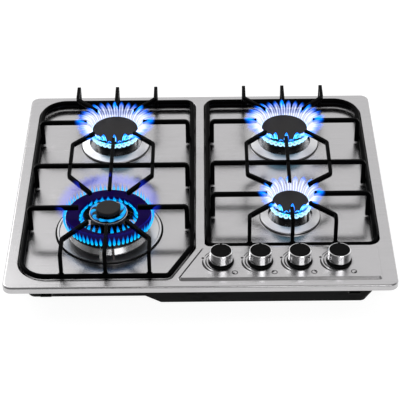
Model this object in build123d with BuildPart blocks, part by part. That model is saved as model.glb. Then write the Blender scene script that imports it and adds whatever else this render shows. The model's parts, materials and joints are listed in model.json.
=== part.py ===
"""A drop-in gas cooktop with four burners, two pan supports and a front control area.

Millimetres, +Z up, X to the right, Y to the rear. The origin lies under the middle of the
panel, at the underside of the base tray.
"""

import os
from dataclasses import dataclass
from math import cos, hypot, radians, sin, tan

from build123d import *

os.makedirs("parts", exist_ok=True)

# ---------------------------------------------------------------- top panel, one pressed sheet
PANEL_W = 580.0
PANEL_D = 510.0
PANEL_SHEET = 0.9
PANEL_SKIRT = 10.0
PANEL_CORNER_R = 14.0
PANEL_EDGE_R = 3.0
RIM_SIDE = 18.0
RIM_REAR = 15.0
RIM_FRONT = 18.0
CENTRE_STRIP = 14.0
CONTROL_BAND = 95.0
RECESS_DEPTH = 8.0
RECESS_LEAN = 20.0
RECESS_WIDE_R = 45.0
RECESS_SMALL_R = 18.0
RECESS_TIGHT_R = 8.0
RECESS_WALL_GROW = 0.6
PRESS_R = 1.5
CHAMFER_W = 36.0
CHAMFER_D = 71.0
CONTROL_RISE = 3.5
CONTROL_LEAN = 50.0
CONTROL_FRONT_RIM = 13.0
CONTROL_REAR_RIM = 4.5
CONTROL_SIDE_RIM = 22.0
CONTROL_CHAMFER_GAP = 8.5
CONTROL_CORNER_R = 6.0

# ---------------------------------------------------------------- base tray
TRAY_DEPTH = 47.0
TRAY_SHEET = 0.8
TRAY_SIDE_INSET = 22.0
TRAY_END_INSET = 13.0
TRAY_LEAN = 22.6
TRAY_CORNER_R = 14.0
TRAY_BASE_R = 10.0
TRAY_SEAL_GAP = 0.6
STEP_LEAN = 49.0
STEP_R = 30.0
STEP_REACH = 30.0
SHALLOW_RISE = 20.0
SHALLOW_W = 209.0
SHALLOW_D = 91.0
POCKET_RISE = 25.0
POCKET_LEAN = 22.6
POCKET_R = 12.0
POCKET_W = 88.0
POCKET_D = 86.0

# ---------------------------------------------------------------- seal and worktop clamps
SEAL_W = 6.5
SEAL_EDGE_GAP = 0.4
SEAL_PROUD = 0.8
CLAMP_X = 226.0
CLAMP_W = 16.0
CLAMP_SHEET = 1.5
CLAMP_PLATE = 17.0
CLAMP_LIP = 15.0
CLAMP_DROP = 6.0
CLAMP_SCREW_R = 2.0
CLAMP_HEAD_R = 4.0
CLAMP_HEAD_H = 2.4
CLAMP_SCREW_L = 4.0

# ---------------------------------------------------------------- pan supports
SUPPORT_RISE = 40.0
BAR_W = 5.5
BAR_H = 6.0
BAR_OUTER_R = 8.0
BAR_INNER_R = 3.0
SIDE_BAR_X = 65.0
KINK_R = 8.0
KINK_LAP = 5.0
LEG_GAP = 3.0
WELD_BITE = 0.6
WIRE_R = 4.0
WIRE_INSET = 6.0
WIRE_RISE = 2.0
WIRE_TIGHT_R = 8.0
WIRE_DIP_START = 42.0
WIRE_DIP_END = 22.0
WIRE_DIP_R = 15.0
MID_BAR_LEFT_Y = 0.0
MID_BAR_RIGHT_Y = 4.0
FOOT_R = 3.0
FOOT_SHIFT = 2.0
FOOT_REAR_IN = 90.0
FOOT_LEFT_IN = 105.0
FOOT_RIGHT_IN = 200.0

# ---------------------------------------------------------------- burners
REAR_BURNER_IN = 133.0
TRIPLE_BURNER_IN = 145.5
SMALL_BURNER_IN = 176.0
CUP_FLANGE = 1.5
CUP_WALL = 2.0
CUP_DEPTH = 27.0
CUP_BOSS_R = 9.0
CUP_BOSS_DEPTH = 13.0
CUP_BOSS_SKIN = 3.0
PANEL_HOLE_GAP = 0.8
THROAT_R = 12.0
THROAT_WALL = 2.0
THROAT_DROP = 8.0
CROWN_WALL = 5.0
CROWN_SKIRT = 2.5
CROWN_HOLLOW = 7.5
CROWN_FLARE_Z = 16.5
CROWN_BAND = 10.0
CHAMBER_DEPTH = 8.5
CHAMBER_FALL = 4.5
CAP_H = 5.0
CAP_EDGE_R = 2.0
CAP_LIP_H = 2.0
CAP_LIP_W = 2.5
CAP_LIP_GAP = 0.5
PORT_H = 5.0
PORT_W = 2.0
PORT_OVERCUT = 2.0
DISH_SHEET = 0.8
DISH_RIM = 3.5
DISH_RISE = 6.5
INJECTOR_R = 3.5
INJECTOR_HEX_R = 5.0
INJECTOR_HEX_H = 3.0
INJECTOR_THREAD_L = 5.0
INJECTOR_NOSE_L = 5.0
INJECTOR_NOSE_LEAN = 12.0
JET_R = 0.8
PROBE_R = 1.8
PIN_R = 0.8
CERAMIC_R = 2.0
PROBE_GAP = 0.3
CERAMIC_DROP = 16.0
ELECTRODE_RISE = 15.0
PIN_TAIL = 4.0
PIN_TIP = 6.0
PROBE_RISE = 20.0
PROBE_NUT_R = 4.0
PROBE_NUT_H = 4.0
CUP_SCREW_R = 1.5
CUP_SCREW_HEAD_R = 2.6
CUP_SCREW_HEAD_H = 1.8
CUP_SCREW_L = 7.0

# ---------------------------------------------------------------- triple burner
RING_CAP_LAP = 2.0
RING_R = 63.5
RING_HOLE_R = 47.0
RING_WALL = 3.0
RING_FLOOR = 3.0
RING_TAPER = 5.0
RING_PORT_W = 1.6
RING_BASE_RISE = 10.0
RING_TOP_RISE = 25.5
RING_PORTS = 54
RING_INNER_PORTS = 27
ARM_W = 12.0
ARM_H = 6.0
ARM_COUNT = 4
CONE_INSET = 1.5
CONE_FALL = 8.0
CONE_WALL = 4.0
HUB_R = 16.0
HUB_BORE_R = 10.0
PLATFORM_R = 29.0
PLATFORM_RISE = 32.0
PLATFORM_H = 3.0
INNER_CROWN_R = 17.5
INNER_CROWN_H = 5.0
INNER_PORTS = 16
INNER_CAP_R = 18.5
INNER_CAP_H = 5.5
TRIPLE_CUP_R = 33.0
TRIPLE_DISH_MARGIN = 11.5
TRIPLE_DISH_HOLE_GAP = 0.6
TRIPLE_DISH_BEAD = 4.0
TRIPLE_BEAD_H = 2.6
PROBE_STANDOFF = 5.0

# ---------------------------------------------------------------- knobs and taps
KNOB_COUNT = 4
KNOB_FIRST_X = 31.0
KNOB_LAST_IN = 84.1
KNOB_IN = 54.0
KNOB_R = 16.85
KNOB_FOOT_R = 17.4
KNOB_H = 15.0
KNOB_GAP = 5.5
KNOB_WALL = 2.4
KNOB_ROOF = 5.0
KNOB_HUB_R = 7.5
KNOB_RIM = 1.5
KNOB_EDGE = 0.6
KNOB_DISC_H = 1.4
KNOB_DISC_PROUD = 0.2
POINTER_W = 3.2
POINTER_OUT = 0.9
PUSH = 3.0
GASKET_R = 19.0
GASKET_HOLE_R = 9.5
GASKET_H = 2.0
GASKET_COLLAR_R = 14.0
GASKET_COLLAR_H = 6.5
GASKET_WALL = 2.5
GASKET_EDGE = 0.8
SPINDLE_R = 4.0
SPINDLE_FLAT = 2.6
SPINDLE_SINK = 10.5
SPINDLE_GAP = 0.05
SPINDLE_COLLAR_R = 5.8
SPINDLE_COLLAR_H = 1.5
SPINDLE_COLLAR_LIFT = 6.0
SPINDLE_HOLE_R = 7.0
TAP_R = 11.0
TAP_TOP = 44.0
BONNET_H = 3.0
PLUG_TOP_R = 6.4
PLUG_LEAN = 3.0
PLUG_FLOAT = 0.1
PLUG_BASE = 26.0
PLUG_H = 16.0
PLUG_SLOT_W = 3.1
PLUG_SLOT_H = 7.0
TANG_SINK = 3.0
TAP_SADDLE_W = 24.0
TAP_SADDLE_H = 10.0
TAP_SADDLE_WALL = 3.0
TAP_OUTLET_R = 6.0
TAP_OUTLET_L = 18.0
TAP_OUTLET_Z = 31.0
TAP_PASSAGE_R = 2.5

# ---------------------------------------------------------------- gas line
MANIFOLD_R = 7.0
MANIFOLD_Z = 13.0
MANIFOLD_LEFT_X = 12.0
MANIFOLD_SIDE_IN = 58.0
MANIFOLD_RISE_IN = 140.0
MANIFOLD_RISE_L = 30.0
MANIFOLD_REAR_Z = 35.0
MANIFOLD_BEND_R = 20.0
SADDLE_W = 14.0
SADDLE_WALL = 3.0
SADDLE_X = (60.0, 177.0)
INLET_IN = 51.0
INLET_BODY_R = 12.5
INLET_TOP = 46.0
INLET_THREAD_R = 10.48
INLET_THREAD_L = 15.0
INLET_END_Z = 3.0
INLET_NUT_R = 13.5
INLET_BORE_R = 7.0
PIPE_R = 3.0
PIPE_Z = 16.0
PIPE_SEAT = 6.0
PIPE_END_GAP = 0.5
PIPE_BEND_R = 12.0
PIPE_LEVEL_RUN = 20.0
PIPE_FALL_RUN = 22.0
PIPE_SHIFT = 12.0
CENTRE_PIPE_X = 0.0
CENTRE_PIPE_IN = 189.0
SECOND_PIPE_X = 95.0
SECOND_PIPE_IN = 150.0
TRIPLE_TURN_X = 75.0
NUT_R = 7.0
NUT_L = 7.0

# ---------------------------------------------------------------- spark box
SPARK_BOX_X = -70.0
SPARK_BOX_Y = 10.0
SPARK_BOX_W = 50.0
SPARK_BOX_D = 36.0
SPARK_BOX_H = 24.0
SPARK_BOX_CORNER_R = 3.0
SPARK_POST_R = 3.0
SPARK_POST_H = 6.0
SPARK_POST_PITCH = 11.0
SPARK_POSTS = 4

# ---------------------------------------------------------------- heights and lines that follow
SKIRT_Z = TRAY_DEPTH
RIM_Z = SKIRT_Z + PANEL_SKIRT
FLOOR_Z = RIM_Z - RECESS_DEPTH
PAN_TOP = FLOOR_Z - PANEL_SHEET
CONTROL_Z = RIM_Z + CONTROL_RISE
FLANGE_Z = FLOOR_Z + CUP_FLANGE
CUP_FLOOR_Z = FLOOR_Z - CUP_DEPTH + CUP_WALL
CUP_BASE_Z = FLOOR_Z - CUP_DEPTH
BOSS_BASE_Z = CUP_BASE_Z - CUP_BOSS_DEPTH
SUPPORT_TOP = RIM_Z + SUPPORT_RISE
BAR_Z = SUPPORT_TOP - BAR_H
LEG_Z = FLOOR_Z + LEG_GAP
WIRE_Z = RIM_Z + WIRE_RISE
WIRE_LOW_Z = FLOOR_Z + WIRE_R
RECESS_OUT_X = PANEL_W / 2 - RIM_SIDE
RECESS_IN_X = CENTRE_STRIP / 2
SIDE_X = (RECESS_OUT_X + RECESS_IN_X) / 2
REAR_LINE = PANEL_D / 2 - RIM_REAR
FRONT_LINE = -PANEL_D / 2 + RIM_FRONT
RIGHT_FRONT_LINE = -PANEL_D / 2 + CONTROL_BAND
LEG_FACE = (RECESS_OUT_X - RECESS_IN_X) / 2 - WIRE_INSET - WIRE_R + WELD_BITE
# Each burner, the knobs, the feet and the gas line keep their distance from the nearer edge.
REAR_BURNER_Y = PANEL_D / 2 - REAR_BURNER_IN
TRIPLE_BURNER_Y = -PANEL_D / 2 + TRIPLE_BURNER_IN
SMALL_BURNER_Y = -PANEL_D / 2 + SMALL_BURNER_IN
KNOB_Y = -PANEL_D / 2 + KNOB_IN
KNOB_LAST_X = PANEL_W / 2 - KNOB_LAST_IN
KNOB_PITCH = (KNOB_LAST_X - KNOB_FIRST_X) / (KNOB_COUNT - 1)
KNOB_X = [KNOB_FIRST_X + KNOB_PITCH * knob for knob in range(KNOB_COUNT)]
FOOT_REAR_Y = PANEL_D / 2 - FOOT_REAR_IN
FOOT_FRONT_LEFT_Y = -PANEL_D / 2 + FOOT_LEFT_IN
FOOT_FRONT_RIGHT_Y = -PANEL_D / 2 + FOOT_RIGHT_IN
MANIFOLD_RIGHT_X = PANEL_W / 2 - MANIFOLD_SIDE_IN
MANIFOLD_RISE_Y = PANEL_D / 2 - MANIFOLD_RISE_IN
INLET_Y = PANEL_D / 2 - INLET_IN
CENTRE_PIPE_Y = -PANEL_D / 2 + CENTRE_PIPE_IN
SECOND_PIPE_Y = -PANEL_D / 2 + SECOND_PIPE_IN
RING_CAP_R = RING_R + RING_CAP_LAP
RING_CAP_HOLE_R = RING_HOLE_R - RING_CAP_LAP
CONE_R = RING_R - CONE_INSET
CONE_TOP_R = CONE_R - CONE_FALL
TRIPLE_PROBE_R = RING_R + PROBE_STANDOFF
TRIPLE_DISH_R = TRIPLE_PROBE_R + TRIPLE_DISH_MARGIN
QUARTER_TURN = 90.0


@dataclass
class Burner:
    """One ordinary burner: where it stands and the sizes that set it apart."""

    name: str
    x: float
    y: float
    cap_r: float
    crown_r: float
    base_r: float
    cup_r: float
    flange_r: float
    dish_r: float
    crown_rise: float
    port_count: int
    probe_ring: float
    screw_ring: float
    electrode_turn: float
    probe_turn: float


REAR_SIZES = dict(
    cap_r=37.5,
    crown_r=36.0,
    base_r=31.0,
    cup_r=28.5,
    flange_r=42.7,
    dish_r=55.5,
    crown_rise=27.0,
    port_count=30,
    probe_ring=40.0,
    screw_ring=35.0,
)
SMALL_SIZES = dict(
    cap_r=28.3,
    crown_r=27.0,
    base_r=22.5,
    cup_r=19.5,
    flange_r=34.0,
    dish_r=46.0,
    crown_rise=26.0,
    port_count=22,
    probe_ring=30.8,
    screw_ring=26.5,
)
REAR_LEFT = Burner(
    "rear_left", -SIDE_X, REAR_BURNER_Y, **REAR_SIZES, electrode_turn=150.0, probe_turn=30.0
)
REAR_RIGHT = Burner(
    "rear_right", SIDE_X, REAR_BURNER_Y, **REAR_SIZES, electrode_turn=150.0, probe_turn=30.0
)
SMALL = Burner(
    "front_right", SIDE_X, SMALL_BURNER_Y, **SMALL_SIZES, electrode_turn=207.0, probe_turn=330.0
)
BURNERS = (REAR_LEFT, REAR_RIGHT, SMALL)
SCREW_TURNS = (75.0, 255.0)
TRIPLE_ELECTRODE_TURN = 262.0
TRIPLE_PROBE_TURN = 278.0
TRIPLE_SCREW_RING = 42.0


def write(piece, name):
    """Label a finished piece and write it to its own file."""
    piece.part.label = name
    export_step(piece.part, f"parts/{name}.step")


def upright(x, y, turn=0.0):
    """Upright plane through x, y: local X points along turn (degrees), local Y is height."""
    along = (cos(radians(turn)), sin(radians(turn)), 0)
    across = (sin(radians(turn)), -cos(radians(turn)), 0)
    return Plane(origin=(x, y, 0), x_dir=along, z_dir=across)


def around(x, y, ring, turn):
    """Point on a circle about x, y."""
    return (x + ring * cos(radians(turn)), y + ring * sin(radians(turn)))


def inset(corners, distance):
    """Corners of an anticlockwise outline with every side moved inward by a distance."""
    moved = []
    for i, (x, y) in enumerate(corners):
        x0, y0 = corners[i - 1]
        x1, y1 = corners[(i + 1) % len(corners)]
        a = hypot(x - x0, y - y0)
        b = hypot(x1 - x, y1 - y)
        ux, uy = (x - x0) / a, (y - y0) / a
        vx, vy = (x1 - x) / b, (y1 - y) / b
        reach = distance / (ux * vy - uy * vx)
        moved.append((x + reach * (vx - ux), y + reach * (vy - uy)))
    return moved


def pressing(corners, radii, z, height, lean, grow=0.0):
    """Solid under or over an outline at z whose walls lean inward along the height."""
    with BuildPart() as form:
        with BuildSketch(Plane.XY.offset(z)) as face:
            with BuildLine():
                FilletPolyline(*inset(corners, -grow), radius=radii, close=True)
            make_face()
        extrude(amount=height, taper=lean)
    return form.part


def lid(margin, top):
    """Rounded block over the skirt line, with a rolled upper edge."""
    with BuildPart() as block:
        with BuildSketch(Plane.XY.offset(SKIRT_Z)):
            RectangleRounded(PANEL_W - 2 * margin, PANEL_D - 2 * margin, PANEL_CORNER_R - margin)
        extrude(amount=top - SKIRT_Z)
        fillet(block.faces().sort_by(Axis.Z)[-1].edges(), PANEL_EDGE_R - margin)
    return block.part


# ================================================================ top panel
LEFT_RECESS = [
    (-RECESS_OUT_X, REAR_LINE),
    (-RECESS_OUT_X, FRONT_LINE),
    (-RECESS_IN_X - CHAMFER_W, FRONT_LINE),
    (-RECESS_IN_X, FRONT_LINE + CHAMFER_D),
    (-RECESS_IN_X, REAR_LINE),
]
LEFT_RADII = [RECESS_WIDE_R, RECESS_WIDE_R, RECESS_TIGHT_R, RECESS_TIGHT_R, RECESS_SMALL_R]
RIGHT_RECESS = [
    (RECESS_IN_X, REAR_LINE),
    (RECESS_IN_X, RIGHT_FRONT_LINE),
    (RECESS_OUT_X, RIGHT_FRONT_LINE),
    (RECESS_OUT_X, REAR_LINE),
]
RIGHT_RADII = [RECESS_SMALL_R, RECESS_TIGHT_R, RECESS_SMALL_R, RECESS_WIDE_R]

# The control area keeps its left side parallel to the chamfer of the left recess.
CONTROL_FRONT = -PANEL_D / 2 + CONTROL_FRONT_RIM
CONTROL_REAR = RIGHT_FRONT_LINE - CONTROL_REAR_RIM
CONTROL_RIGHT = PANEL_W / 2 - CONTROL_SIDE_RIM
CHAMFER_SLOPE = CHAMFER_W / CHAMFER_D
CHAMFER_SHIFT = CONTROL_CHAMFER_GAP * hypot(1, CHAMFER_SLOPE)


def control_left(y):
    """X of the control area's left side at a given Y."""
    chamfer_x = -RECESS_IN_X - CHAMFER_W + (y - FRONT_LINE) * CHAMFER_SLOPE
    return chamfer_x + CHAMFER_SHIFT


CONTROL_AREA = [
    (control_left(CONTROL_FRONT), CONTROL_FRONT),
    (CONTROL_RIGHT, CONTROL_FRONT),
    (CONTROL_RIGHT, CONTROL_REAR),
    (control_left(CONTROL_REAR), CONTROL_REAR),
]
CONTROL_RADII = [CONTROL_CORNER_R] * len(CONTROL_AREA)

outer_lid = lid(0.0, RIM_Z)
inner_lid = lid(PANEL_SHEET, RIM_Z - PANEL_SHEET)
recess_backs = [
    pressing(corners, radii, RIM_Z - PANEL_SHEET, -RECESS_DEPTH, RECESS_LEAN, RECESS_WALL_GROW)
    for corners, radii in ((LEFT_RECESS, LEFT_RADII), (RIGHT_RECESS, RIGHT_RADII))
]
recess_hollows = [
    pressing(corners, radii, RIM_Z, -RECESS_DEPTH, RECESS_LEAN)
    for corners, radii in ((LEFT_RECESS, LEFT_RADII), (RIGHT_RECESS, RIGHT_RADII))
]
control_rise = pressing(CONTROL_AREA, CONTROL_RADII, RIM_Z, CONTROL_RISE, CONTROL_LEAN)
control_back = pressing(CONTROL_AREA, CONTROL_RADII, RIM_Z - PANEL_SHEET, CONTROL_RISE, CONTROL_LEAN)

panel_holes = [(b.x, b.y, b.cup_r + PANEL_HOLE_GAP) for b in BURNERS]
panel_holes.append((-SIDE_X, TRIPLE_BURNER_Y, TRIPLE_CUP_R + PANEL_HOLE_GAP))
electrode_spots = [around(b.x, b.y, b.probe_ring, b.electrode_turn) for b in BURNERS]
electrode_spots.append(around(-SIDE_X, TRIPLE_BURNER_Y, TRIPLE_PROBE_R, TRIPLE_ELECTRODE_TURN))
probe_spots = [around(b.x, b.y, b.probe_ring, b.probe_turn) for b in BURNERS]
probe_spots.append(around(-SIDE_X, TRIPLE_BURNER_Y, TRIPLE_PROBE_R, TRIPLE_PROBE_TURN))
screw_spots = [around(b.x, b.y, b.screw_ring, turn) for b in BURNERS for turn in SCREW_TURNS]
screw_spots += [
    around(-SIDE_X, TRIPLE_BURNER_Y, TRIPLE_SCREW_RING, turn) for turn in SCREW_TURNS
]

with BuildPart() as top_panel:
    add(outer_lid)
    add(inner_lid, mode=Mode.SUBTRACT)
    for back in recess_backs:
        add(back)
    add(control_rise)
    for hollow in recess_hollows:
        add(hollow, mode=Mode.SUBTRACT)
    add(control_back, mode=Mode.SUBTRACT)
    level_faces = top_panel.faces().filter_by(Axis.Z)
    rim_face = level_faces.filter_by_position(Axis.Z, RIM_Z - PRESS_R, RIM_Z + PRESS_R)[-1]
    pressed_edges = [e for wire in rim_face.inner_wires() for e in wire.edges()]
    fillet(pressed_edges, PRESS_R)
    with BuildSketch(Plane.XY.offset(PAN_TOP)):
        for x, y, r in panel_holes:
            with Locations((x, y)):
                Circle(r)
        with Locations(*electrode_spots, *probe_spots):
            Circle(CERAMIC_R + PROBE_GAP)
        with Locations(*screw_spots):
            Circle(CUP_SCREW_R)
    extrude(amount=PANEL_SHEET, mode=Mode.SUBTRACT)
    with BuildSketch(Plane.XY.offset(RIM_Z - PANEL_SHEET)):
        with Locations(*[(x, KNOB_Y) for x in KNOB_X]):
            Circle(SPINDLE_HOLE_R)
    extrude(amount=CONTROL_RISE + PANEL_SHEET, mode=Mode.SUBTRACT)
write(top_panel, "top_panel")

# ================================================================ gas manifold
MANIFOLD_RISE_END_Y = MANIFOLD_RISE_Y + MANIFOLD_RISE_L

with BuildPart() as gas_manifold:
    with BuildLine() as manifold_path:
        FilletPolyline(
            (MANIFOLD_LEFT_X, KNOB_Y, MANIFOLD_Z),
            (MANIFOLD_RIGHT_X, KNOB_Y, MANIFOLD_Z),
            (MANIFOLD_RIGHT_X, MANIFOLD_RISE_Y, MANIFOLD_Z),
            (MANIFOLD_RIGHT_X, MANIFOLD_RISE_END_Y, MANIFOLD_REAR_Z),
            (MANIFOLD_RIGHT_X, INLET_Y - INLET_BODY_R / 2, MANIFOLD_REAR_Z),
            radius=MANIFOLD_BEND_R,
        )
    with BuildSketch(Plane((MANIFOLD_LEFT_X, KNOB_Y, MANIFOLD_Z), z_dir=(1, 0, 0))):
        Circle(MANIFOLD_R)
    sweep(path=manifold_path.line)
write(gas_manifold, "gas_manifold")

# ================================================================ base tray
TRAY_X = PANEL_W / 2 - TRAY_SIDE_INSET
TRAY_Y = PANEL_D / 2 - TRAY_END_INSET
# Each clamp lies flat on the leaning tray wall and turns out level under the worktop.
WALL_RUN = tan(radians(TRAY_LEAN))
CLAMP_TOP = SKIRT_Z - CLAMP_DROP
CLAMP_WALL_Y = TRAY_Y - (PAN_TOP - CLAMP_TOP) * WALL_RUN
CLAMP_SIDES = (QUARTER_TURN, -QUARTER_TURN)


def clamp_outline():
    """Bent strip seen from its side: distance from the wall line outward, and height."""
    lean = radians(TRAY_LEAN)
    foot_out = -CLAMP_PLATE * sin(lean)
    foot_z = CLAMP_TOP - CLAMP_PLATE * cos(lean)
    thick_out = CLAMP_SHEET * cos(lean)
    thick_down = CLAMP_SHEET * sin(lean)
    lip_z = CLAMP_TOP - CLAMP_SHEET
    return [
        (0, CLAMP_TOP),
        (foot_out, foot_z),
        (foot_out + thick_out, foot_z - thick_down),
        (CLAMP_SHEET * (1 - sin(lean)) / cos(lean), lip_z),
        (CLAMP_LIP, lip_z),
        (CLAMP_LIP, CLAMP_TOP),
    ]


def wall_normal_plane(x, side):
    """Plane on the middle of a clamp's plate, facing out of the leaning wall."""
    lean = radians(TRAY_LEAN)
    half = CLAMP_PLATE / 2
    out = half * sin(lean)
    down = half * cos(lean)
    facing = 1 if side > 0 else -1
    return Plane(
        origin=(x, facing * (CLAMP_WALL_Y - out), CLAMP_TOP - down),
        x_dir=(1, 0, 0),
        z_dir=(0, facing * cos(lean), -sin(lean)),
    )


clamp_spots = [(x, side) for x in (-CLAMP_X, CLAMP_X) for side in CLAMP_SIDES]


def corners_of(x0, y0, x1, y1):
    """Corners of an upright rectangle, anticlockwise."""
    return [(x0, y0), (x1, y0), (x1, y1), (x0, y1)]


# The tray is shallow at the front left and over the gas inlet at the rear right.
FRONT_STEP = corners_of(
    -TRAY_X - STEP_REACH, -TRAY_Y - STEP_REACH, -TRAY_X + SHALLOW_W, -TRAY_Y + SHALLOW_D
)
INLET_POCKET = corners_of(
    TRAY_X - POCKET_W, TRAY_Y - POCKET_D, TRAY_X + STEP_REACH, TRAY_Y + STEP_REACH
)
STEPS = (
    (FRONT_STEP, STEP_R, SHALLOW_RISE, STEP_LEAN),
    (INLET_POCKET, POCKET_R, POCKET_RISE, POCKET_LEAN),
)


def tray_form(wall):
    """Leaning pan less its two steps, with every wall moved inward."""
    base_shift = wall + (PAN_TOP - wall) * WALL_RUN
    with BuildPart() as form:
        for z, shift, r in (
            (PAN_TOP, wall, TRAY_CORNER_R - wall),
            (wall, base_shift, TRAY_BASE_R - wall),
        ):
            with BuildSketch(Plane.XY.offset(z)):
                RectangleRounded(2 * (TRAY_X - shift), 2 * (TRAY_Y - shift), r)
        loft(ruled=True)
        for outline, r, rise, lean in STEPS:
            radii = [r] * len(outline)
            add(pressing(outline, radii, 0.0, rise + wall, lean, wall), mode=Mode.SUBTRACT)
    return form.part


# The flange fills the space inside the rim seal, which closes the tray all round.
SEAL_MARGIN = PANEL_EDGE_R + SEAL_EDGE_GAP
FLANGE_X = PANEL_W / 2 - SEAL_MARGIN - SEAL_W - TRAY_SEAL_GAP
FLANGE_Y = PANEL_D / 2 - SEAL_MARGIN - SEAL_W - TRAY_SEAL_GAP
tray_outside = tray_form(0.0)
tray_inside = tray_form(TRAY_SHEET)

with BuildPart() as base_tray:
    add(tray_outside)
    with BuildSketch(Plane.XY.offset(PAN_TOP - TRAY_SHEET)):
        RectangleRounded(2 * FLANGE_X, 2 * FLANGE_Y, PANEL_CORNER_R - TRAY_SEAL_GAP)
    extrude(amount=TRAY_SHEET)
    add(tray_inside, mode=Mode.SUBTRACT)
    with BuildSketch(Plane.XY.offset(TRAY_SHEET)):
        with Locations(*[(x, KNOB_Y) for x in SADDLE_X]):
            Rectangle(SADDLE_W, 2 * (MANIFOLD_R + SADDLE_WALL))
    extrude(amount=MANIFOLD_Z - TRAY_SHEET)
    add(gas_manifold.part, mode=Mode.SUBTRACT)
    with BuildSketch(Plane.XY):
        with Locations((MANIFOLD_RIGHT_X, INLET_Y)):
            Circle(INLET_THREAD_R)
    extrude(amount=PAN_TOP, mode=Mode.SUBTRACT)
    for x, side in clamp_spots:
        with BuildSketch(wall_normal_plane(x, side)):
            Circle(CLAMP_SCREW_R)
        extrude(amount=-CLAMP_SCREW_L, mode=Mode.SUBTRACT)
write(base_tray, "base_tray")

# ================================================================ rim seal
SEAL_Z = SKIRT_Z - SEAL_PROUD

with BuildPart() as rim_seal:
    with BuildSketch(Plane.XY.offset(SEAL_Z)):
        RectangleRounded(
            PANEL_W - 2 * SEAL_MARGIN, PANEL_D - 2 * SEAL_MARGIN, PANEL_CORNER_R - SEAL_EDGE_GAP
        )
        RectangleRounded(
            PANEL_W - 2 * (SEAL_MARGIN + SEAL_W),
            PANEL_D - 2 * (SEAL_MARGIN + SEAL_W),
            PANEL_CORNER_R,
            mode=Mode.SUBTRACT,
        )
    extrude(amount=RIM_Z - PANEL_SHEET - SEAL_Z)
write(rim_seal, "rim_seal")

# ================================================================ worktop clamps and their screws
with BuildPart() as worktop_clamps:
    for x, side in clamp_spots:
        facing = 1 if side > 0 else -1
        with BuildSketch(upright(x, facing * CLAMP_WALL_Y, side)):
            with BuildLine():
                Polyline(*clamp_outline(), close=True)
            make_face()
        extrude(amount=CLAMP_W / 2, both=True)
    for x, side in clamp_spots:
        with BuildSketch(wall_normal_plane(x, side)):
            Circle(CLAMP_SCREW_R)
        extrude(amount=CLAMP_SHEET, mode=Mode.SUBTRACT)
write(worktop_clamps, "worktop_clamps")

with BuildPart() as clamp_screws:
    for x, side in clamp_spots:
        with BuildSketch(wall_normal_plane(x, side).offset(CLAMP_SHEET)):
            Circle(CLAMP_HEAD_R)
        extrude(amount=CLAMP_HEAD_H)
        with BuildSketch(wall_normal_plane(x, side).offset(-CLAMP_SCREW_L)):
            Circle(CLAMP_SCREW_R)
        extrude(amount=CLAMP_SCREW_L + CLAMP_SHEET)
write(clamp_screws, "clamp_screws")

# ================================================================ pan supports
WIRE_OUT_X = RECESS_OUT_X - WIRE_INSET
WIRE_IN_X = RECESS_IN_X + WIRE_INSET
WIRE_REAR_Y = REAR_LINE - WIRE_INSET
WIRE_RIGHT_FRONT_Y = RIGHT_FRONT_LINE + WIRE_INSET
LEG_BITE = WIRE_R - WELD_BITE


def rim_wire(path_points, radii):
    """Round wire bent round a closed path."""
    with BuildPart() as wire:
        with BuildLine() as path:
            FilletPolyline(*path_points, radius=radii, close=True)
        with BuildSketch(Plane(path.line @ 0, z_dir=path.line % 0)):
            Circle(WIRE_R)
        sweep(path=path.line)
    return wire


def finger_outline(tip, face):
    """L-shaped finger in its own upright plane, from the tip to the leg's outer face."""
    corners = [
        (tip, BAR_Z),
        (face - BAR_H, BAR_Z),
        (face - BAR_H, LEG_Z),
        (face, LEG_Z),
        (face, SUPPORT_TOP),
        (tip, SUPPORT_TOP),
    ]
    return corners, [0, BAR_INNER_R, 0, 0, BAR_OUTER_R, 0]


@dataclass
class FingerRing:
    """Where the bars of a pan support point at one burner."""

    x: float
    y: float
    side_tip: float
    slant_tip: float
    rear_tip: float
    front_tip: float
    rear_kink: float
    front_kink: float


REAR_TIPS = dict(
    side_tip=46.0, slant_tip=45.0, rear_tip=48.0, front_tip=48.0, rear_kink=68.0, front_kink=65.0
)
TRIPLE_TIPS = dict(
    side_tip=45.0, slant_tip=45.0, rear_tip=45.0, front_tip=45.0, rear_kink=81.0, front_kink=78.5
)
SMALL_TIPS = dict(
    side_tip=36.0, slant_tip=36.0, rear_tip=31.0, front_tip=36.0, rear_kink=51.0, front_kink=56.0
)


def straight_finger(ring, turn, tip, face):
    """Finger from a leg by the rim wire straight towards the burner."""
    corners, radii = finger_outline(tip, face)
    with BuildPart() as finger:
        with BuildSketch(upright(ring.x, ring.y, turn)):
            with BuildLine():
                FilletPolyline(*corners, radius=radii, close=True)
            make_face()
        extrude(amount=BAR_W / 2, both=True)
    return finger.part


def slant_tip_point(ring, hand, way, kink):
    """Tip of a slanting finger: on the line from the kink to the burner's centre."""
    slant = hypot(SIDE_BAR_X, kink)
    return (
        ring.x + hand * SIDE_BAR_X * ring.slant_tip / slant,
        ring.y + way * kink * ring.slant_tip / slant,
    )


def side_finger(ring, hand, way, kink, face):
    """Side bar: a leg, a straight run to the kink, then a slant towards the burner."""
    side_x = ring.x + hand * SIDE_BAR_X
    corners, radii = finger_outline(kink + KINK_LAP, face)
    with BuildPart() as finger:
        with BuildSketch(upright(side_x, ring.y, QUARTER_TURN * way)):
            with BuildLine():
                FilletPolyline(*corners, radius=radii, close=True)
            make_face()
        extrude(amount=BAR_W / 2, both=True)
        with BuildSketch(Plane.XY.offset(BAR_Z)):
            with BuildLine():
                FilletPolyline(
                    (side_x, ring.y + way * (kink + KINK_LAP)),
                    (side_x, ring.y + way * kink),
                    slant_tip_point(ring, hand, way, kink),
                    radius=KINK_R,
                )
            trace(line_width=BAR_W)
        extrude(amount=BAR_H)
    return finger.part


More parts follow.
